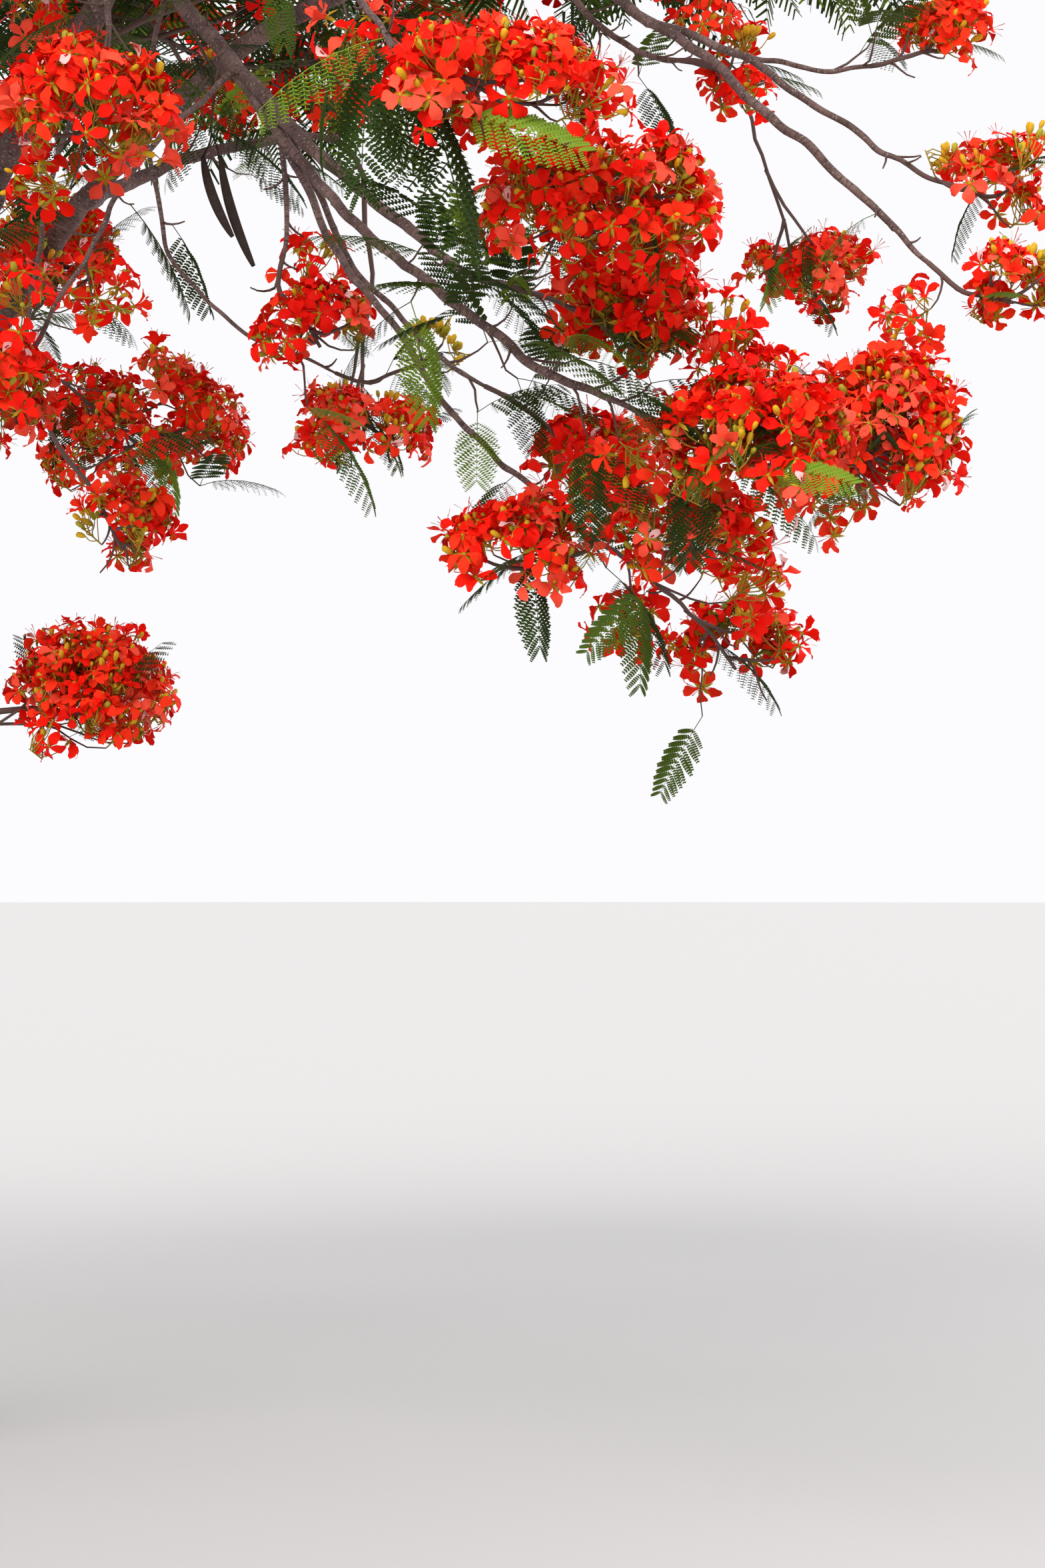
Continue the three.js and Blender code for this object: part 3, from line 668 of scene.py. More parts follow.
def fitting_blade(plan, place, heading, longest, count):
    """The longest spray of leaves that a twig has room for, on one side of it or the other."""
    side = unit(np.cross(heading, up))
    for size in blade_rule["sizes"]:
        for hand in (1, -1) if count % 2 else (-1, 1):
            along = unit(side * hand + heading * 0.5 - up * 0.2)
            length = longest * size
            tip = place + along * length
            room = length * blade_rule["width"] * 0.5
            if is_inside(plan, tip) and is_clear(plan["name"], place, tip, room):
                return {"root": place, "along": along, "length": length}
    return None


def skin_place(plan, k, count, inset, draw):
    """Places spread evenly over a mass's upper skin by the golden angle, with a little chance."""
    height = skin_top - (skin_span * (k + 0.5)) / count
    spread = math.sqrt(1 - height * height)
    azimuth = plan["turn"] + k * golden_angle + (draw() - 0.5) * 0.5
    skin_point = np.array([math.cos(azimuth) * spread, math.sin(azimuth) * spread, height])
    return plan["centre"] + skin_point * (plan["reach"] - inset) * (0.9 + 0.08 * draw())


for plan in plans:
    rule = growth_rules[plan["kind"]]
    draw = row_for(plan)
    height = plan["reach"][2]
    truss_radius = float(np.clip(truss_rule["share"] * height, truss_rule["least"], truss_rule["most"]))
    blade_length = float(np.clip(blade_rule["share"] * height, blade_rule["least"], blade_rule["most"]))
    count = int(np.clip(math.floor(height / rule["per_twig"] + 0.5), rule["least"], rule["most"]))
    plan["turn"] = draw() * math.tau
    plan["twigs"] = []
    plan["blades"] = []
    for k in range(count):
        target = skin_place(plan, k, count, truss_radius * 0.75, draw)
        flowers = draw() < plan["blossom"]
        bare = stem_rule["bare"]
        root = on_rings(plan["stem"], stem_rule["steps"], bare + (1 - bare) * ((k + 0.5) / count))
        thick = twig_rule["root"] * rule["thick"]
        line = bowed(root, target, -up * twig_rule["bow"] * np.linalg.norm(target - root))
        twig = Limb(line, taper_of(thick, thick * (1 - twig_rule["taper"])))
        if not is_clear(plan["name"], root, target, thick):
            continue
        take_limb(plan["name"], twig, 1)
        facing = unit(twig.heading(1.0) * 0.45 + up * 0.55)
        crest = target + facing * truss_rule["depth"] * 0.3 * truss_radius
        if flowers and is_clear(plan["name"], target, crest, truss_radius):
            take(plan["name"], target, crest, truss_radius)
        plan["twigs"].append({"limb": twig, "flowers": flowers, "facing": facing})
        if flowers:
            places = [twig_rule["beside"]] if draw() < rule["chance"] else []
        else:
            places = rule["alone"]
        for number, share in enumerate(places):
            place = on_rings(twig, 1, share)
            blade = fitting_blade(plan, place, twig.heading(share), blade_length, number + k)
            if blade:
                take(plan["name"], place, place + blade["along"] * blade["length"], blade["length"] * 0.16)
                plan["blades"].append(blade)

# Twigs. The stems and main twigs are thin brown wood, and finer twigs fork off them to places in between,
# each leaving at a slant and turning up at its end. Short shoots stand along the limbs, bare, in leaf or in
# blossom.
fine_rules = {
    "weeping": {"per_area": 330, "least": 3, "lowest": -0.9, "root": 0.0034, "tip": 0.0019, "sides": 0},
    "crown": {"per_area": 88, "least": 22, "lowest": -0.6, "root": 0.006, "tip": 0.0028, "sides": 4},
}
side_length = 0.24
# how a mass's outline runs in and out round its ellipsoid: for each wave its count round the mass and its
# reach, and how far lobes stand out of it on all sides
outline_waves = {"weeping": ((3, 0.08),), "crown": ((2, 0.12), (5, 0.08)), "shoots": ()}
outline_lobes = {"weeping": 0.3, "crown": 0.1, "shoots": 0.0}
# how far past the frame's box a spray may reach
box_room = 0.085
box_low = np.array(cad_box[0]) - box_room
box_high = np.array(cad_box[1]) + box_room
# Short shoots: limb, the stretch that carries them, how many, and the shares of them in blossom and in leaf.
shoot_rows = [
    ("near_bough", 0.35, 1.0, 15, 0.12, 0.42),
    ("near_left_bough", 0.3, 1.0, 12, 0.1, 0.5),
    ("weeping_bough", 0.06, 0.4, 8, 0.05, 0.0),
    ("weeping_bough", 0.9, 1.0, 5, 0.0, 0.8),
    ("middle_limb", 0.5, 0.9, 11, 0.0, 0.85),
    ("middle_limb", 0.88, 1.0, 5, 0.5, 0.5),
    ("stem_of_heart", 0.05, 0.5, 3, 0.6, 0.4),
    ("stem_of_elbow", 0.0, 0.4, 4, 0.25, 0.6),
    ("inner_limb", 0.7, 1.0, 5, 0.1, 0.6),
    ("long_limb", 0.76, 1.0, 6, 0.3, 0.3),
    ("hooked_limb", 0.3, 1.0, 5, 0.0, 0.0),
    ("looping_limb", 0.45, 1.0, 7, 0.1, 0.5),
    ("crossing_limb", 0.5, 1.0, 5, 0.2, 0.4),
    ("hanging_limb", 0.4, 1.0, 6, 0.1, 0.3),
    ("right_limb", 0.8, 1.0, 4, 0.1, 0.0),
    ("right_upper_limb", 0.8, 1.0, 3, 0.3, 0.0),
    ("right_top_limb", 0.5, 1.0, 4, 0.3, 0.5),
    ("top_limb", 0.3, 1.0, 9, 0.1, 0.15),
    ("far_bough", 0.4, 1.0, 8, 0.3, 0.5),
    ("front_bough", 0.55, 0.9, 22, 0.35, 0.6),
    ("right_bough", 0.5, 1.0, 8, 0.1, 0.4),
    ("right_bough", 0.16, 0.42, 14, 0.7, 0.3),
    ("stem_of_drop", 0.1, 0.6, 5, 0.6, 0.2),
]
# masses that stand fuller or thinner than the rule makes them
fullness = {
    "near_crest": 1.4, "near_shoulder": 1.2, "elbow": 1.05, "heart": 1.3, "right_head": 1.6,
    "under_heart": 0.5, "hooked_cluster": 0.28, "bud_spray": 0.25, "lower_left": 0.65, "drop": 0.6,
    "low_pair": 0.95, "inner_cluster": 0.8, "low_arch": 1.1, "near_left": 0.95, "inner_row": 0.75,
    "right_upper": 0.35, "right_lower": 0.35, "right_top": 0.6, "top_cluster": 0.5, "far_right": 0.7,
    "over_path_1": 0.7, "over_path_2": 0.75,
}
# masses where fewer of the twigs are in open blossom, as a share of the rule's
less_open = {
    "bud_spray": 0.08, "hooked_cluster": 0.8, "inner_cluster": 0.8, "top_cluster": 0.5, "right_lower": 0.45,
    "right_upper": 0.75, "over_path_1": 0.35, "over_path_2": 0.6,
}
# the umbrella's blossom comes in patches of this size in metres
patch_size = 0.9
shoot_rule = {"root": 0.0034, "tip": 0.0018, "bare": (0.04, 0.05), "long": (0.07, 0.1)}


def outline_at(plan, direction):
    """How far a mass's uneven outline stands towards a direction, as a share of its reach."""
    azimuth = math.atan2(direction[1], direction[0])
    waves = outline_waves[plan["kind"]]
    lobe = noise.noise(Vector(unit(direction)) * 1.6 + Vector((3.7 * plan["number"], 0, 0)))
    lobe *= outline_lobes[plan["kind"]]
    return 1 + lobe + sum(reach * math.sin(count * (azimuth + plan["turn"])) for count, reach in waves)


def spread_at(plan, point):
    """How far out in its mass a point lies: 1 on the mass's own uneven outline."""
    away = point - plan["centre"]
    return float(np.linalg.norm(away / plan["reach"])) / outline_at(plan, away)


def within(plan, point, room):
    """Whether a point is in a mass's own uneven outline, and near enough to the frame's box."""
    in_box = bool((point > box_low).all() and (point < box_high).all())
    return in_box and spread_at(plan, point) <= room


def spoke_at(facing, turn):
    """A direction straight across facing, turned about it."""
    least = np.eye(3)[np.abs(facing).argmin()]
    first = unit(np.cross(least, facing))
    return first * math.cos(turn) + np.cross(facing, first) * math.sin(turn)


def facing_frame(place, facing, turn, size):
    """A frame whose Z is facing, turned about it."""
    x = spoke_at(facing, turn)
    return np.stack([x * size, np.cross(facing, x) * size, facing * size, place], axis=1)


def fork_off(wood, target, least=0.04):
    """Where a finer twig to target leaves the wood: near it, and not against the wood's own heading."""
    places, headings = wood
    runs = target - places
    far = np.linalg.norm(runs, axis=1)
    agree = (unit(runs) * headings).sum(1)
    cost = far * (1.5 - agree) + np.where(far < least, 10, 0)
    best = int(cost.argmin())
    return places[best], headings[best]


def upturned(root, heading, target, lift=0.5):
    """A finer twig's line: off along the wood's heading, and up at the end."""
    run = target - root
    span = np.linalg.norm(run)
    arrive = unit(run + up * lift * span)
    return [root, root + unit(heading + unit(run)) * 0.33 * span, target - arrive * 0.33 * span, target]


def wood_of(limbs_here, shares):
    places = np.concatenate([limb.at(shares) for limb in limbs_here])
    headings = np.concatenate([limb.heading(shares) for limb in limbs_here])
    return places, headings


def tip_kind(chance, blossom):
    """What a twig ends in: a truss in blossom, or else one in bud or a tuft of leaves."""
    if chance < blossom:
        return "blossom"
    return "buds" if chance < blossom + (1 - blossom) * 0.5 else "leaves"


for plan in plans:
    rule = fine_rules[plan["kind"]]
    weeping = plan["kind"] == "weeping"
    draw = row_for(plan, 31)
    full = fullness.get(plan["name"], 1)
    wanted = max(rule["least"], round(rule["per_area"] * full * plan["reach"][0] * plan["reach"][2]))
    main = [twig["limb"] for twig in plan["twigs"]]
    wood = wood_of(main + [plan["stem"]], np.array([0.4, 0.55, 0.7, 0.85]))
    opened = less_open.get(plan["name"], 1)
    plan["fine"] = []
    plan["tips"] = []
    for twig in plan["twigs"]:
        kind = ("blossom" if draw() < opened else "buds") if twig["flowers"] else "leaves"
        plan["tips"].append((twig["limb"].at(1.0), twig["facing"], kind, 0))
    for blade in [] if weeping else plan["blades"]:
        target = blade["root"] + blade["along"] * blade["length"] * 0.6
        line = upturned(blade["root"], blade["along"], target, 0.1)
        plan["fine"].append(Limb(line, taper_of(rule["root"] * 0.7, rule["tip"])))
        plan["tips"].append((target, plan["fine"][-1].heading(1.0), "leaves", 1))
    for k in range(wanted):
        height = skin_top + (rule["lowest"] - skin_top) * (k + 0.5) / wanted
        azimuth = plan["turn"] + 1.3 + k * golden_angle + (draw() - 0.5) * 0.6
        spread = math.sqrt(max(1 - height * height, 0.05))
        skin_point = np.array([math.cos(azimuth) * spread, math.sin(azimuth) * spread, height])
        depth = 0.3 + (0.45 if weeping else 0.6) * math.sqrt(draw())
        target = plan["centre"] + skin_point * plan["reach"] * depth * outline_at(plan, skin_point)
        if weeping:
            # a truss stands up from its twig, so the twig ends that much lower
            target -= up * 0.25 * plan["reach"][2]
        root, heading = fork_off(wood, target)
        if not is_clear(plan["name"], root, target, rule["root"], wood_only=weeping):
            continue
        twig = Limb(upturned(root, heading, target), taper_of(rule["root"], rule["tip"]))
        plan["fine"].append(twig)
        outward = unit(skin_point / plan["reach"])
        facing = unit(twig.heading(1.0) * 0.3 + outward * 0.45 + up * (0.7 if weeping else 0.45))
        chance = opened * plan["blossom"] * (0.75 if weeping and height < -0.4 else 1)
        if not weeping:
            patch = noise.noise(Vector(target) / patch_size)
            chance *= min(max(0.65 + 1.5 * patch, 0), 1) * (1.0 if height > -0.25 else 0.4)
        kind = tip_kind(draw(), chance)
        plan["tips"].append((target, facing, kind, 1))
        for side in range(rule["sides"]):
            share = 0.4 + 0.55 * (side + draw()) / rule["sides"]
            place, along = twig.at(share), twig.heading(share)
            hand = unit(np.cross(along, up)) * (1 if (side + k) % 2 else -1)
            reach_out = unit(along * 0.7 + hand * (0.6 + 0.4 * draw()) + up * (0.5 * draw() - 0.15))
            end = place + reach_out * side_length * (0.7 + 0.6 * draw())
            if not within(plan, end, 0.98) or not is_clear(plan["name"], place, end, 0.004):
                continue
            fine = Limb(upturned(place, along, end, 0.35), taper_of(rule["tip"], rule["tip"] * 0.6))
            plan["fine"].append(fine)
            kind_here = kind if draw() < 0.85 else "leaves"
            plan["tips"].append((end, unit(fine.heading(1.0) * 0.5 + up * 0.5), kind_here, 2))

carrier_named = {**limbs, **{f"stem_of_{plan['name']}": plan["stem"] for plan in plans}}
shoot_plans = []
for number, (on, start, end, count, blossom, leafy) in enumerate(shoot_rows):
    carrier = carrier_named[on]
    draw = random_row(first_seed + 311 * number + 7)
    plan = {"name": on, "number": 100 + number, "kind": "shoots", "turn": draw() * math.tau}
    plan.update(centre=carrier.at(0.5), reach=np.full(3, 4.0), twigs=[], blades=[], fine=[], tips=[])
    for k in range(count):
        share = start + (end - start) * (k + draw()) / count
        place, heading = carrier.at(share), carrier.heading(share)
        spoke = spoke_at(heading, plan["turn"] + k * golden_angle)
        chance = draw()
        kind = "blossom" if chance < blossom else "leaves" if chance < blossom + leafy else "bare"
        least, more = shoot_rule["bare" if kind == "bare" else "long"]
        target = place + unit(heading * 0.6 + spoke * 0.8 + up * 0.3) * (least + more * draw())
        twig = Limb(upturned(place, heading, target), taper_of(shoot_rule["root"], shoot_rule["tip"]))
        plan["fine"].append(twig)
        plan["tips"].append((target, unit(twig.heading(1.0) + up * 0.4), kind, 1))
    shoot_plans.append(plan)

# the hanging twig that carries last year's pods, with leaves down its length
pod_twig_end = np.array([1.345, -1.25, 3.43])
pod_twig_root = limbs["weeping_bough"].at(0.16)
pod_twig = Limb(bowed(pod_twig_root, pod_twig_end, np.array([0.03, 0.0, -0.02])), taper_of(0.0045, 0.0026))
shoot_plans[2]["fine"].append(pod_twig)
for share, side in ((0.35, 1.0), (0.5, -1.0), (0.65, 0.8), (0.8, -0.7), (0.95, 0.5)):
    facing = unit(np.array([side, -0.3 * side * side, 0.1]))
    shoot_plans[2]["tips"].append((pod_twig.at(share), facing, "leaves", 1))

# Leaves that stand out by themselves: the mass they grow in, root, tip, where the face looks, tint and shape.
# A thin twig of their own brings each root to the wood.
lone_leaves = [
    ("near_crest", (1.96, -3.02, 3.12), (2.2, -3.1, 3.07), (0.1, -1, 0.5), "light", 0),
    ("under_heart", (2.38, -2.05, 2.26), (2.23, -2.05, 2.13), (-0.2, -1, 0.3), "mid", 0),
    ("drop", (2.53, -1.42, 2.0), (2.42, -1.42, 1.83), (-0.3, -1, 0.3), "mid", 0),
    ("heart", (2.6, -2.6, 2.47), (2.76, -2.7, 2.45), (0.1, -1, 0.5), "light", 0),
]
plan_named = {plan["name"]: plan for plan in plans}
for name, root, *_ in lone_leaves:
    plan = plan_named[name]
    own_wood = [twig["limb"] for twig in plan["twigs"]] + [plan["stem"]]
    place, heading = fork_off(wood_of(own_wood, np.array([0.3, 0.5, 0.7, 0.9, 1.0])), np.array(root), 0.01)
    plan["fine"].append(Limb(upturned(place, heading, np.array(root), -0.3), taper_of(0.0026, 0.0014)))


def soft_finish(name, colour, roughness, bump_scale, bump_depth, specular=0.15):
    """A plain colour with fine unevenness in its gloss and surface."""
    finish, tree, shader = new_finish(name)
    shader.inputs["Base Color"].default_value = (*colour, 1)
    shader.inputs["Specular IOR Level"].default_value = specular
    place = add_node(tree, "ShaderNodeTexCoord").outputs["Object"]
    grain = noise_on(tree, place, bump_scale)
    low, high = roughness
    tree.links.new(ramp_of(tree, grain, (0.3, (low,) * 3), (0.7, (high,) * 3)), shader.inputs["Roughness"])
    tree.links.new(bump_on(tree, grain, 0.5, bump_depth).outputs["Normal"], shader.inputs["Normal"])
    return finish


def twig_shape(twigs, sides, rings):
    shares = np.linspace(0, 1, rings)
    lines = crooked(np.array([limb.at(shares) for limb in twigs]))
    return swept(lines, [limb.radius_at(shares) for limb in twigs], sides)


# a drawn stem is no thinner than this at its root and tip, so that it can carry its twigs
least_stem = taper_of(0.0062, 0.0042)


def stem_shape(group, sides, rings):
    """Stems that start inside their bough's last stretch and leave it in a smooth line."""
    lines = []
    radii = []
    shares = np.linspace(0, 1, rings)
    for plan in group:
        bough, stem = limbs[plan["on"]], plan["stem"]
        if plan["name"] == trunk_shoot["name"]:
            inner = stem.at(0.0) - stem.heading(0.0) * np.array([[0.03], [0.02], [0.01]])
        else:
            inner = bough.at(np.linspace(1 - 0.1 / bough.length(), 1, 4)[:3])
            inner = inner + (stem.at(0.0) - bough.at(1.0)) * np.array([[0.0], [0.3], [0.7]])
        line = np.concatenate([inner, stem.at(shares)])
        for _ in range(3):
            line[1:-1] = (line[:-2] + 2 * line[1:-1] + line[2:]) / 4
        lines.append(line)
        least_girths = np.minimum(least_stem(shares), 1.2 * bough.radius_at(1.0))
        girths = np.maximum(stem.radius_at(shares), least_girths)
        radii.append(np.concatenate([np.full(3, girths[0]), girths]))
    return swept(crooked(np.array(lines)), radii, sides)


# the sides and rings of each kind of twig's tube
twig_faces = {"stem": (8, 14), "main": (6, 9), "near": (4, 5), "far": (3, 5)}
young_bark = soft_finish("young_bark", (0.12, 0.075, 0.065), (0.6, 0.85), 160, 0.0008)
weeping_plans = [plan for plan in plans if plan["kind"] == "weeping"]
crown_plans = [plan for plan in plans if plan["kind"] == "crown"]
weeping_nodes = [plan["name"] for plan in weeping_plans]
crown_nodes = [plan["name"] for plan in crown_plans]
for piece_name, group, shoots, nodes in (
    ("weeping_twigs", weeping_plans, shoot_plans, weeping_nodes),
    ("crown_twigs", crown_plans, [], crown_nodes),
):
    stems = stem_shape(group, *twig_faces["stem"])
    mains = twig_shape([twig["limb"] for plan in group for twig in plan["twigs"]], *twig_faces["main"])
    fine_faces = twig_faces["near" if shoots else "far"]
    fines = twig_shape([fine for plan in group + shoots for fine in plan["fine"]], *fine_faces)
    joined_piece(piece_name, [stems, mains, fines], young_bark, nodes)

# Blossom of the weeping side. A flower has spoon-shaped scarlet petals, each a thin claw and a round crinkled
# blade, an upright standard that is white with red streaks while young, long stamens, and a green-gold cup.
petal_length = 0.049
petal_width = 0.0315


def petal_outline(along):
    """Half-width of a petal from its claw to its tip, as a share of its widest."""
    blade = (along - 0.66) / 0.36
    return 0.11 + 0.89 * math.sqrt(max(1 - blade * blade, 0))


def grid_shape(columns, rows, placed):
    """A grid of faces whose points are placed by their share across, from -1 to 1, and along, from 0 to 1."""
    bm = bmesh.new()
    bmesh.ops.create_grid(bm, x_segments=columns, y_segments=rows, size=0.5)
    for vert in bm.verts:
        vert.co = placed(vert.co.x * 2, vert.co.y + 0.5)
    return shape_of(bm)


def petal_shape(length, width, rise, recurve, twist, crinkle, columns, rows, draw):
    """A petal along +Y from the flower's middle, which faces +Z."""

    def placed(across, row):
        # the rows close up towards the tip, which makes it round
        along = math.sin(math.pi / 2 * row)
        half = width / 2 * petal_outline(along)
        angle = rise - recurve * along
        roll = twist * along
        edge = abs(across) * (along > 0.3)
        lift = half * (across * math.sin(roll) + 0.3 * across**2) + crinkle * edge * (draw() - 0.5) * 2
        reach = length * along * (1 - 0.07 * across**2)
        return (
            half * across * math.cos(roll) + crinkle * 0.6 * edge * (draw() - 0.5),
            0.004 + reach * math.cos(angle) - lift * math.sin(angle),
            reach * math.sin(angle) + lift * math.cos(angle),
        )

    return grid_shape(columns, rows, placed)


def dealt(shape, frames):
    """Copies of a shape, one in each frame, which holds three axes and a place as its columns."""
    frames = np.array(frames).reshape(-1, 3, 4)
    return copies(np.einsum("nij,pj->npi", frames[:, :, :3], shape[0]) + frames[:, None, :, 3], shape)


def dealt_each(shapes, rows):
    """Each shape dealt out to its own row of frames, where it has any."""
    return [dealt(shape, frames) for shape, frames in zip(shapes, rows) if frames]


def spun(shape, angle):
    turn = np.array(Matrix.Rotation(angle, 3, "Z"))
    return shape[0] @ turn.T, shape[1], shape[2]


petal_step = 2 * math.pi / 5
# how steeply the petals rise from the flower's middle and how far they bend back, from wide open to just
# opening; only the first four are open wide enough to show a standard
flower_poses = [(0.55, 0.9), (0.3, 0.8), (0.85, 1.2), (0.5, 0.4), (0.95, 0.8), (1.2, 0.6)]
poses_with_standard = 4
petal_draw = random_row(4409)


def loose_petal(rise, recurve):
    """One petal of a flower, a little unlike its neighbours in length, rise and twist."""
    length = petal_length * (0.88 + 0.2 * petal_draw())
    width = petal_width * (0.85 + 0.25 * petal_draw())
    rise = rise + 0.8 * (petal_draw() - 0.5)
    twist = 1.3 * (petal_draw() - 0.5)
    return petal_shape(length, width, rise, recurve, twist, 0.0045, 2, 5, petal_draw)


whole_flowers = []
four_petals = []
for rise, recurve in flower_poses:
    petals = []
    for k in range(5):
        petal = loose_petal(rise, recurve)
        petals.append(spun(petal, k * petal_step + 0.35 * (petal_draw() - 0.5)))
    whole_flowers.append(merged(petals))
    four_petals.append(merged(petals[1:]))
standard_rise = 1.15
standard_recurve = 0.75
standard_petal = petal_shape(
    petal_length * 0.84, petal_width * 0.72, standard_rise, standard_recurve, 0.0, 0.006, 2, 5, petal_draw
)


def streak_shape(lean):
    """One of the red streaks that fan out over the standard's face, a hair proud of it."""

    def placed(across, along):
        angle = standard_rise - standard_recurve * along
        reach = petal_length * (0.2 + 0.46 * along)
        width = 0.0024 * (1 - 0.75 * along)
        return (
            across * width + reach * lean * (0.3 + 0.9 * along),
            0.004 + reach * math.cos(angle) + 0.0012 * math.sin(angle),
            reach * math.sin(angle) - 0.0012 * math.cos(angle) + 0.0016,
        )

    return grid_shape(1, 3, placed)


standard_streaks = merged([streak_shape(lean) for lean in (-0.26, -0.09, 0.09, 0.26)])


def stamen_shape(draw):
    """A long thin stamen that springs from the middle and curves up."""
    lean = 0.3 + 0.6 * draw()
    length = 0.04 + 0.012 * draw()

    def placed(across, along):
        bend = lean * (0.5 + 0.6 * along)
        width = 0.0006 * (1.0 if along < 0.9 else 2.2)
        return (across * width, length * along * math.sin(bend), 0.004 + length * along * math.cos(bend))

    return grid_shape(1, 2, placed)


stamens_of_flower = merged([spun(stamen_shape(petal_draw), k * golden_angle) for k in range(6)])


def sepal_point(across, along):
    width = 0.0044 * math.sin(math.pi * (0.25 + 0.72 * along))
    return (across * width, 0.003 + 0.023 * along, -0.001 - 0.006 * along - 0.008 * along**2)


# the cup under a flower: five pointed sepals, bent back between the petals, and the stalk's swollen end
sepals = [spun(grid_shape(1, 2, sepal_point), (k + 0.5) * petal_step) for k in range(5)]
bm = bmesh.new()
bmesh.ops.create_cone(bm, cap_ends=True, segments=4, radius1=0.0022, radius2=0.0058, depth=0.012)
bmesh.ops.translate(bm, verts=bm.verts, vec=(0, 0, -0.004))
sepals_of_flower = merged(sepals + [shape_of(bm)])


def bud_shape(length, width):
    """A plump pointed bud along +Z, its root at the origin."""
    bm = bmesh.new()
    bmesh.ops.create_uvsphere(bm, u_segments=5, v_segments=4, radius=1)
    for vert in bm.verts:
        plump = width / 2 * (1.0 + 0.25 * vert.co.z)
        vert.co = (vert.co.x * plump, vert.co.y * plump, length / 2 * (vert.co.z + 0.92))
    return shape_of(bm)


buds_of_truss = [bud_shape(0.03, 0.015), bud_shape(0.021, 0.011)]
# the petals' reds and the share of flowers in each. The coral red is that of petals in sunlight, a painted
# highlight, and the deep red is that of petals in shade, a painted shade; both are dealt at random among the
# trusses like the scarlet and vermilion.
petal_tints = {
    "scarlet": ((0.96, 0.012, 0.004), 0.45),
    "vermilion": ((0.97, 0.036, 0.01), 0.3),
    "coral": ((0.97, 0.085, 0.045), 0.14),
    "deep_red": ((0.8, 0.007, 0.003), 0.11),
}
# a truss: its open flowers and buds, the lengths of a flower's stalk and of the truss's own axis, how far
# petals reach past their flower's middle, the share of whole trusses that stand out of their mass, and the
# shares of flowers that have a young standard and that show their stamens
near_truss = {
    "flowers": 8.0, "buds": 7.0, "stalk": 0.068, "axis": 0.07, "inset": 0.03, "stray": 0.1,
    "standard": 0.15, "stamens": 0.45,
}
flower_places = {name: [[] for _ in whole_flowers + four_petals] for name in petal_tints}
standard_places = []
sepal_places = []
stamen_places = []
bud_places = {"gold": [[], []], "green": [[], []]}
stalk_lines = []


def pick_tint(chance):
    for name, (colour, share) in petal_tints.items():
        if chance < share:
            return name
        chance -= share
    return "scarlet"


def open_flower(seat, tint, draw):
    """Deals out one open flower's parts: petals, cup and stamens, and now and then a young standard."""
    pose = int(draw() * len(flower_poses))
    with_standard = draw() < near_truss["standard"] and pose < poses_with_standard
    flower_places[tint][pose + len(flower_poses) * with_standard].append(seat)
    if with_standard:
        standard_places.append(seat)
    if draw() < near_truss["stamens"]:
        stamen_places.append(seat)
    sepal_places.append(seat)


def truss(plan, place, facing, kind, draw):
    """A flowering shoot's end: open flowers on long stalks low down, and buds above them in the middle."""
    rule = near_truss
    tint_of_truss = pick_tint(draw())
    axis = rule["axis"]
    axis_end = place + facing * axis
    line = [place, place + facing * axis * 0.3, axis_end - facing * axis * 0.3, axis_end]
    stalk_lines.append((line, 0.0024, 0.0016))
    in_blossom = kind == "blossom"
    open_count = int(rule["flowers"] + 2 * (draw() - 0.5) + 0.5) if in_blossom else int(1.3 * draw())
    bud_count = int(rule["buds"] + 4 * (draw() - 0.5) + 0.5) + (0 if in_blossom else 4)
    start_turn = draw() * math.tau
    # petals reach past their flower's middle, so that stays in by as much
    room = 1.05 - rule["inset"] / plan["reach"].min() + (0.5 if draw() < rule["stray"] else 0)
    for j in range(open_count + bud_count):
        opened = j < open_count
        rank = (j + 0.5) / open_count if opened else (j - open_count + 0.5) / bud_count
        tilt = (1.55 - 1.2 * rank if opened else 0.7 - 0.5 * rank) + 0.4 * (draw() - 0.5)
        spoke = spoke_at(facing, start_turn + j * golden_angle)
        out = unit(spoke * math.sin(tilt) + facing * math.cos(tilt) + up * 0.1)
        length = rule["stalk"] * (0.7 + 0.7 * draw())
        root = place + facing * axis * (0.1 + 0.85 * rank)
        end = root + out * length
        over = spread_at(plan, end) / (room - 0.15 * draw())
        if over > 1:
            end = plan["centre"] + (end - plan["centre"]) / over
        line = [root, root + unit(out - up * 0.3) * length * 0.4, end - unit(out + up) * length * 0.3, end]
        stalk_lines.append((line, 0.0019, 0.0015))
        if opened:
            size = 0.8 + 0.24 * draw()
            look = unit(out + up * 0.45 + 0.7 * (np.array([draw(), draw(), draw()]) - 0.5))
            seat = facing_frame(end + look * 0.008, look, draw() * math.tau, size)
            open_flower(seat, tint_of_truss if draw() < 0.55 else pick_tint(draw()), draw)
        else:
            ripeness = "gold" if draw() < 0.66 else "green"
            frame_of_bud = facing_frame(end, out, 0.0, 0.8 + 0.4 * draw())
            bud_places[ripeness][int(draw() < 0.4)].append(frame_of_bud)


for plan in weeping_plans + shoot_plans:
    draw = row_for(plan, 57)
    for place, facing, kind, _ in plan["tips"]:
        if kind in ("blossom", "buds"):
            truss(plan, crooked(place), facing, kind, draw)

for tint, (colour, share) in petal_tints.items():
    finish = soft_finish(f"petal_{tint}", colour, (0.5, 0.7), 90, 0.0012, 0.06)
    shapes = dealt_each(whole_flowers + four_petals, flower_places[tint])
    joined_piece(f"petals_{tint}", shapes, finish, weeping_nodes)

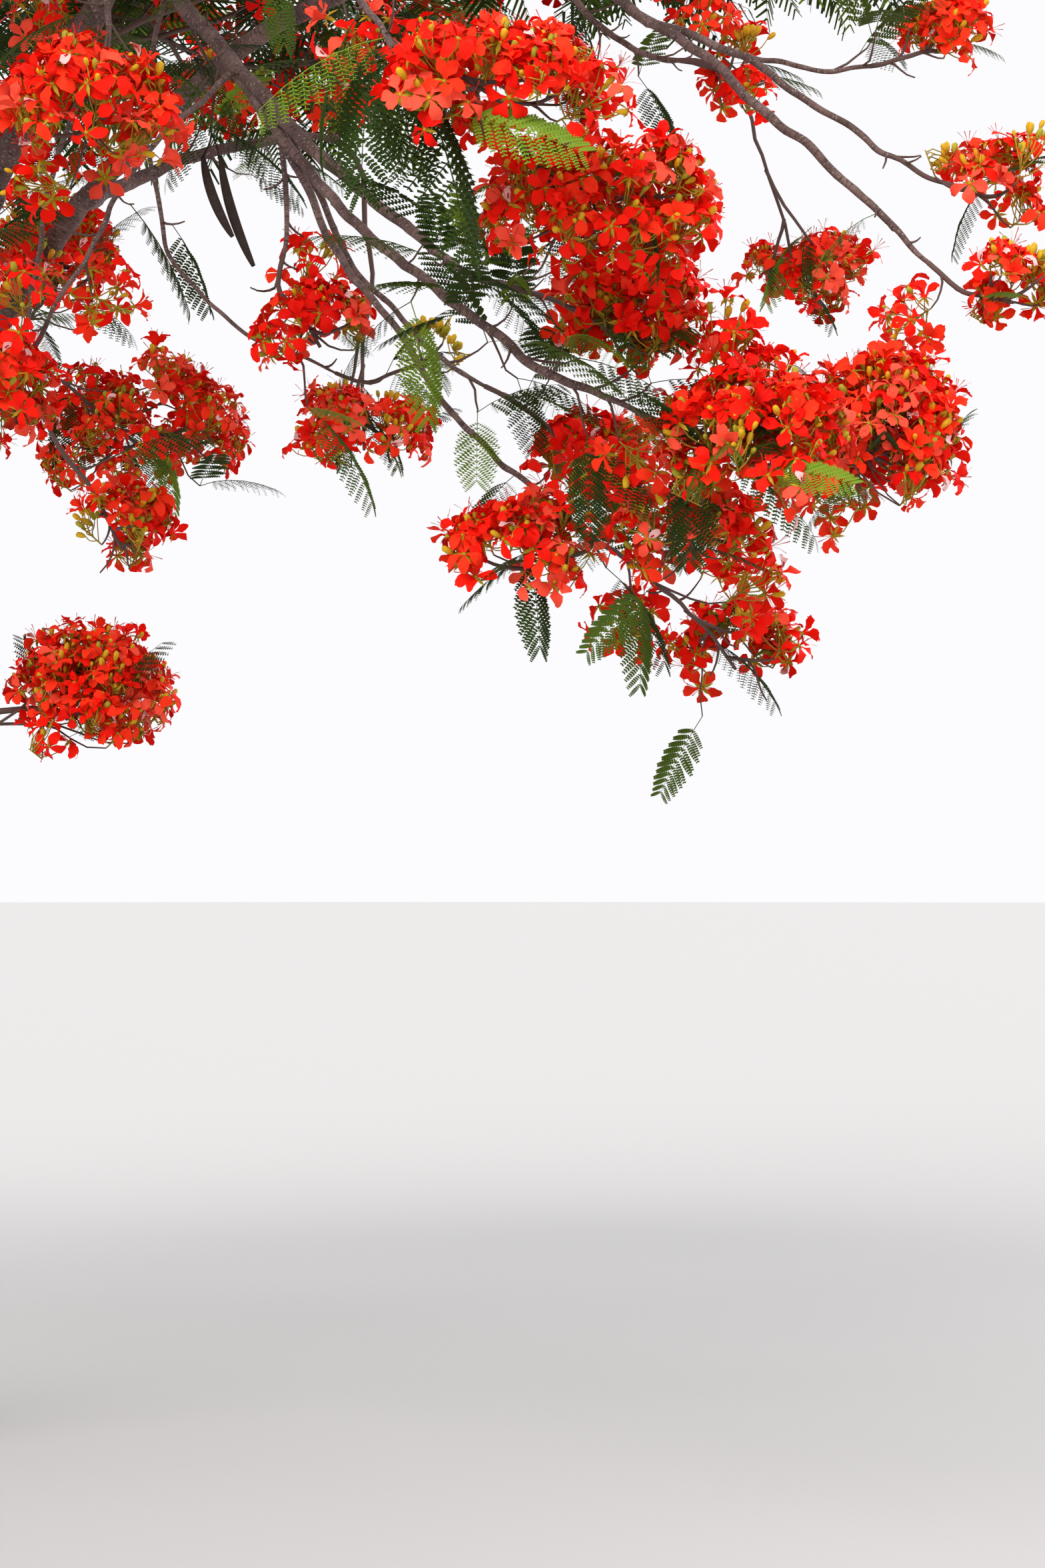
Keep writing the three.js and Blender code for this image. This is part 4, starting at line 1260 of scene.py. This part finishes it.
# the flower's smaller parts: piece, shape and places, then the finish's name, colour, gloss and surface
flower_parts = [
    (
        "standard_petals", standard_petal, standard_places,
        "white_standard", (0.88, 0.5, 0.48), (0.45, 0.65), 90, 0.0012,
    ),
    (
        "standard_streaks", standard_streaks, standard_places,
        "streak_red", (0.62, 0.03, 0.05), (0.4, 0.6), 90, 0.001,
    ),
    ("stamens", stamens_of_flower, stamen_places, "stamen_red", (0.5, 0.02, 0.012), (0.4, 0.6), 90, 0.001),
    (
        "sepals", sepals_of_flower, sepal_places,
        "sepal_green_gold", (0.46, 0.33, 0.018), (0.5, 0.7), 120, 0.001,
    ),
]
for piece_name, shape, places, *look in flower_parts:
    joined_piece(piece_name, [dealt(shape, places)], soft_finish(*look), weeping_nodes)
bud_colours = {"gold": (0.64, 0.38, 0.014), "green": (0.38, 0.35, 0.025)}
for ripeness, colour in bud_colours.items():
    finish = soft_finish(f"bud_{ripeness}", colour, (0.45, 0.65), 120, 0.001)
    shapes = dealt_each(buds_of_truss, bud_places[ripeness])
    joined_piece(f"buds_{ripeness}", shapes, finish, weeping_nodes)
stalk_green = soft_finish("stalk_green", (0.42, 0.3, 0.025), (0.5, 0.7), 150, 0.0008)
stalk_shares = np.linspace(0, 1, 4)
stalks = [Limb(line, taper_of(root, tip)) for line, root, tip in stalk_lines]
stalk_radii = [stalk.radius_at(stalk_shares) for stalk in stalks]
stalk_shape = swept([stalk.along(stalk_shares) for stalk in stalks], stalk_radii, 3)
joined_piece("flower_stalks", [stalk_shape], stalk_green, weeping_nodes)

# Leaves of the weeping side. A real leaf is ferny and twice divided: a thin rachis with pairs of side stalks,
# and on each of those two rows of small oblong leaflets. Each leaflet is one face.
leaf_finishes = {
    "dark": soft_finish("leaf_dark", (0.026, 0.05, 0.008), (0.5, 0.7), 70, 0.001, 0.08),
    "mid": soft_finish("leaf_mid", (0.065, 0.11, 0.012), (0.5, 0.7), 70, 0.001, 0.08),
    "light": soft_finish("leaf_light", (0.17, 0.28, 0.022), (0.5, 0.7), 70, 0.001, 0.08),
}
leaf_length = 0.28
pinna_length = 0.072
leaflet_pairs = 9
pinna_pairs = 10
leaflet_length = 0.0085
leaflet_width = 0.0083


def leaflet_point(across, along):
    out = across / 2 + 0.5
    return (out * leaflet_length, (along - 0.5) * leaflet_width * (0.7 + 0.3 * out), 0)


def side_stalk_point(across, along):
    return (across / 2 * 0.0014, pinna_length * along, 0.0004 - 0.012 * along**2)


def pinna_shape():
    """One side stalk along +Y with its two rows of leaflets, face up to +Z."""
    rows = []
    for k in range(leaflet_pairs):
        share = (k + 0.6) / leaflet_pairs
        size = 0.7 + 0.42 * math.sin(math.pi * share)
        for hand in (1, -1):
            angle = 0.4 if hand > 0 else math.pi - 0.4
            turn = np.array(Matrix.Rotation(angle, 3, "Z") @ Matrix.Rotation(0.5 * hand, 3, "X")) * size
            rows.append(np.column_stack([turn, [0, pinna_length * share, -0.012 * share**2]]))
    return merged([dealt(grid_shape(1, 1, leaflet_point), rows), grid_shape(1, 2, side_stalk_point)])


def leaf_frame(place, along, size, over=up):
    """A frame whose Y runs along a leaf or side stalk, with its face towards over."""
    across = unit(np.cross(along, over))
    return np.stack([across * size, along * size, np.cross(across, along) * size, place], axis=1)


def fern_leaf(pinna, length, pairs, droop, hang, rings, draw):
    """A whole leaf along +Y: its rachis bends down by droop, and its side stalks hang from it by hang."""
    places = []
    line = [[0, length * share, -droop * length * share**2] for share in np.linspace(0, 1, rings)]
    for k in range(pairs + 1):
        share = 0.2 + 0.8 * k / pairs
        place = np.array([0, length * share, -droop * length * share**2])
        heading = unit(np.array([0, 1, -2 * droop * share]))
        size = 0.5 + 0.6 * math.sin(math.pi * min(0.15 + 0.78 * (k + 1) / (pairs + 1), 1))
        for hand in (1, -1):
            side = np.array([hand, 0, 0])
            out = side * 0.95 + heading * (0.4 + 0.6 * share) + np.array([0, 0, -hang])
            out = out + 0.16 * (draw() - 0.5)
            over = unit(np.cross(side, heading) * hand + side * hang * 0.8)
            places.append(leaf_frame(place, unit(out), size, over))
    rachis = swept([line], [np.linspace(0.0016, 0.0008, rings) * length / leaf_length], 3)
    return merged([rachis, dealt(pinna, places)])


leaf_draw = random_row(7703)
near_pinna = pinna_shape()
near_leaves = [
    fern_leaf(near_pinna, leaf_length, pinna_pairs, 0.2, 0.15, 6, leaf_draw),
    fern_leaf(near_pinna, leaf_length, pinna_pairs, 0.4, 0.4, 6, leaf_draw),
    fern_leaf(near_pinna, leaf_length * 0.9, pinna_pairs - 1, 0.3, 0.8, 6, leaf_draw),
]
leaf_places = {tint: [[] for _ in near_leaves] for tint in leaf_finishes}
# Leaves that stand out in front: the limb they grow from and at what share, the tip, the tint and the shape.
front_leaves = [
    ("near_bough", 0.97, (1.53, -2.95, 3.24), "light", 2),
    ("near_bough", 0.9, (1.62, -2.75, 3.16), "dark", 1),
    ("near_bough", 0.95, (1.75, -2.95, 3.1), "dark", 1),
    ("near_bough", 1.0, (1.9, -3.05, 3.07), "dark", 0),
    ("near_bough", 1.0, (2.06, -3.1, 3.02), "dark", 1),
]
# a leaf whose tip would hang below this share of its mass's reach is a young short one
low_leaf = {"below": 0.85, "size": 0.6}
# besides the twigs' tips, the stems and main twigs carry leaves, and so does one in so many of the fine
# twigs; this share of all those places has one
leafy_every = {"weeping": 4, "shoots": 100}
leafy_share = 0.6


def deal_leaf(plan, place, along, size, draw):
    """Puts one leaf in the open where it fits, in a shape and a green of its own."""
    if not within(plan, place + along * leaf_length * size, 1.25):
        return
    tip_height = place[2] + along[2] * leaf_length * size
    if tip_height < plan["centre"][2] - low_leaf["below"] * plan["reach"][2]:
        size *= low_leaf["size"]
    tint = "dark" if draw() < 0.55 else "mid" if draw() < 0.75 else "light"
    shape = int(draw() * len(near_leaves))
    leaf_places[tint][shape].append(leaf_frame(crooked(place), along, size))


for plan in weeping_plans + shoot_plans:
    draw = row_for(plan, 83)
    for blade in plan["blades"]:
        deal_leaf(plan, blade["root"], blade["along"], min(blade["length"], leaf_length) / leaf_length, draw)
    wood = [] if plan["kind"] == "shoots" else [plan["stem"]] * 3 + [twig["limb"] for twig in plan["twigs"]]
    for limb in wood + plan["fine"][:: leafy_every[plan["kind"]]]:
        if draw() > leafy_share:
            continue
        share = 0.35 + 0.55 * draw()
        place, heading = limb.at(share), limb.heading(share)
        side = spoke_at(heading, draw() * math.tau)
        deal_leaf(plan, place, unit(heading * 0.5 + side * 0.9 - up * 0.05), 0.55 + 0.4 * draw(), draw)
    for place, facing, kind, _ in plan["tips"]:
        if kind != "leaves":
            continue
        turn = draw() * math.tau
        for k in range(2):
            side = spoke_at(facing, turn + k * golden_angle)
            deal_leaf(plan, place, unit(facing * 0.7 + side * 0.75 - up * 0.1), 0.6 + 0.4 * draw(), draw)

seated_leaves = [(limbs[name].at(share), tip, up, *look) for name, share, tip, *look in front_leaves]
seated_leaves += [(np.array(root), *rest) for name, root, *rest in lone_leaves]
for root, tip, look, tint, shape in seated_leaves:
    run = np.array(tip) - root
    size = float(np.linalg.norm(run)) / leaf_length
    leaf_places[tint][shape].append(leaf_frame(crooked(root), unit(run), size, np.array(look)))

for tint, seats in leaf_places.items():
    shapes = dealt_each(near_leaves, seats)
    piece_name = f"weeping_leaves_{tint}"
    joined_piece(piece_name, shapes, leaf_finishes[tint], weeping_nodes, smooth=False)

# Pods. Two of last year's pods hang from a twig of the weeping bough: flat, woody and dark brown, a hand's
# length and more, with a low swelling across for each seed.
pod_rows = [((1.326, -1.264, 3.36), (1.398, -1.264, 3.165)), ((1.366, -1.236, 3.36), (1.447, -1.236, 3.098))]
pod_width = 0.026
pod_thickness = 0.008
pod_faces = (10, 34)
seed_spacing = 0.022
seed_height = 0.3


def pod_shape(top, tip):
    """A flat pod along a slightly bent line, its faces towards the front and the back."""
    top, tip = np.array(top), np.array(tip)
    line = Limb(bowed(top, tip, np.array([-0.012, 0.0, 0.0])), taper_of(1, 1))
    points, corners, sizes = unit_tube(*pod_faces)
    share = points[:, 2]
    width = pod_width / 2 * np.sin(np.pi * (0.05 + 0.9 * share)) ** 0.5
    seeds = 1 + seed_height * np.cos(2 * np.pi * share * line.length() / seed_spacing)
    sideways = unit(np.cross(line.heading(share), [0.0, 1.0, 0.0]))
    placed = line.at(share) + sideways * (points[:, 0] * width)[:, None]
    placed[:, 1] += points[:, 1] * pod_thickness / 2 * seeds
    return placed, corners, sizes


pod_lines = [bowed(pod_twig_end, np.array(top), np.array([0.004, 0, 0])) for top, tip in pod_rows]
pod_stalks = [Limb(line, taper_of(0.0024, 0.003)) for line in pod_lines]
pod_brown = soft_finish("pod_brown", (0.035, 0.02, 0.015), (0.5, 0.8), 60, 0.0015, 0.3)
pod_shapes = [twig_shape(pod_stalks, 6, 5)] + [pod_shape(*row) for row in pod_rows]
joined_piece("pods", pod_shapes, pod_brown, weeping_nodes)

# Leaves of the umbrella. Far up they are the same ferny leaves, two or three at each twig's end, with one
# face for each side stalk and its leaflets. Their greens are dealt out by the spray, with more of the dark
# green low in each mass and more of the mid and light greens above it: painted shade under each mass.
far_leaf_length = 0.35
far_pinna_size = (0.0135, 0.088)
far_pairs = 10


def far_pinna_point(across, along):
    width, length = far_pinna_size
    return (across / 2 * width * (1.1 - 0.45 * along), length * (0.04 + 0.96 * along), -0.02 * along)


far_pinna = grid_shape(1, 1, far_pinna_point)
far_leaves = [
    fern_leaf(far_pinna, far_leaf_length, far_pairs, 0.2, 0.1, 3, leaf_draw),
    fern_leaf(far_pinna, far_leaf_length, far_pairs, 0.4, 0.35, 3, leaf_draw),
    fern_leaf(far_pinna, far_leaf_length * 0.85, far_pairs - 1, 0.65, 0.2, 3, leaf_draw),
]
far_leaf_places = {tint: [[] for _ in far_leaves] for tint in leaf_finishes}
far_flower_places = {tint: [] for tint in ("scarlet", "vermilion", "deep_red")}
far_truss = {"flowers": 7, "rise": 0.05, "spread": 0.13, "size": 1.15}

for plan in crown_plans:
    draw = row_for(plan, 119)
    for place, facing, kind, order in plan["tips"]:
        outward = unit((place - plan["centre"]) / plan["reach"] ** 2)
        high = (place - plan["centre"])[2] / plan["reach"][2]
        # more dark green low in the mass than above its middle: painted shade under the mass
        tint = "dark" if draw() < (0.62 if high < 0.1 else 0.42) else "mid" if draw() < 0.72 else "light"
        turn = draw() * math.tau
        place = crooked(place)
        for k in range(3 if order == 2 else 2):
            side = spoke_at(facing, turn + k * 2.1)
            along = unit(side * 0.9 + facing * 0.25 + outward * 0.35 - up * 0.15 * draw())
            size = 0.8 + 0.4 * draw()
            if not within(plan, place + along * far_leaf_length * size, 1.1):
                # a shorter leaf may still fit
                size *= 0.66
                if not within(plan, place + along * far_leaf_length * size, 1.14):
                    continue
            over = unit(up + 0.3 * outward)
            shape = int(draw() * len(far_leaves))
            far_leaf_places[tint][shape].append(leaf_frame(place, along, size, over))
        if kind == "leaves" or not within(plan, place, 1.12):
            continue
        # the truss's red; the deep red is that of petals in shade, a painted shade
        tint = "scarlet" if draw() < 0.5 else "vermilion" if draw() < 0.6 else "deep_red"
        for k in range(far_truss["flowers"]):
            tilt = 1.5 * math.sqrt((k + 0.5) / far_truss["flowers"])
            spoke = spoke_at(facing, turn + k * golden_angle)
            out = unit(spoke * math.sin(tilt) + facing * math.cos(tilt))
            seat = place + facing * far_truss["rise"] + out * far_truss["spread"] * (0.6 + 0.6 * draw())
            look = unit(out + 0.3 * up + 0.5 * (np.array([draw(), draw(), draw()]) - 0.5))
            size = far_truss["size"] * (0.85 + 0.3 * draw())
            if within(plan, seat, 1.3):
                far_flower_places[tint].append(facing_frame(seat, look, draw() * math.tau, size))

for tint, seats in far_leaf_places.items():
    shapes = dealt_each(far_leaves, seats)
    joined_piece(f"crown_leaves_{tint}", shapes, leaf_finishes[tint], crown_nodes, smooth=False)

# Blossom of the umbrella. The real umbrella is roofed with the same trusses. They stand on its upper twigs in
# the weeping side's reds, with each petal two faces long.
far_petal = petal_shape(petal_length, petal_width * 1.1, 0.45, 0.7, 0.0, 0.0, 1, 2, petal_draw)
far_flower = merged([spun(far_petal, k * petal_step) for k in range(5)])
for tint, places in far_flower_places.items():
    finish = bpy.data.materials[f"petal_{tint}"]
    joined_piece(f"crown_petals_{tint}", [dealt(far_flower, places)], finish, crown_nodes)
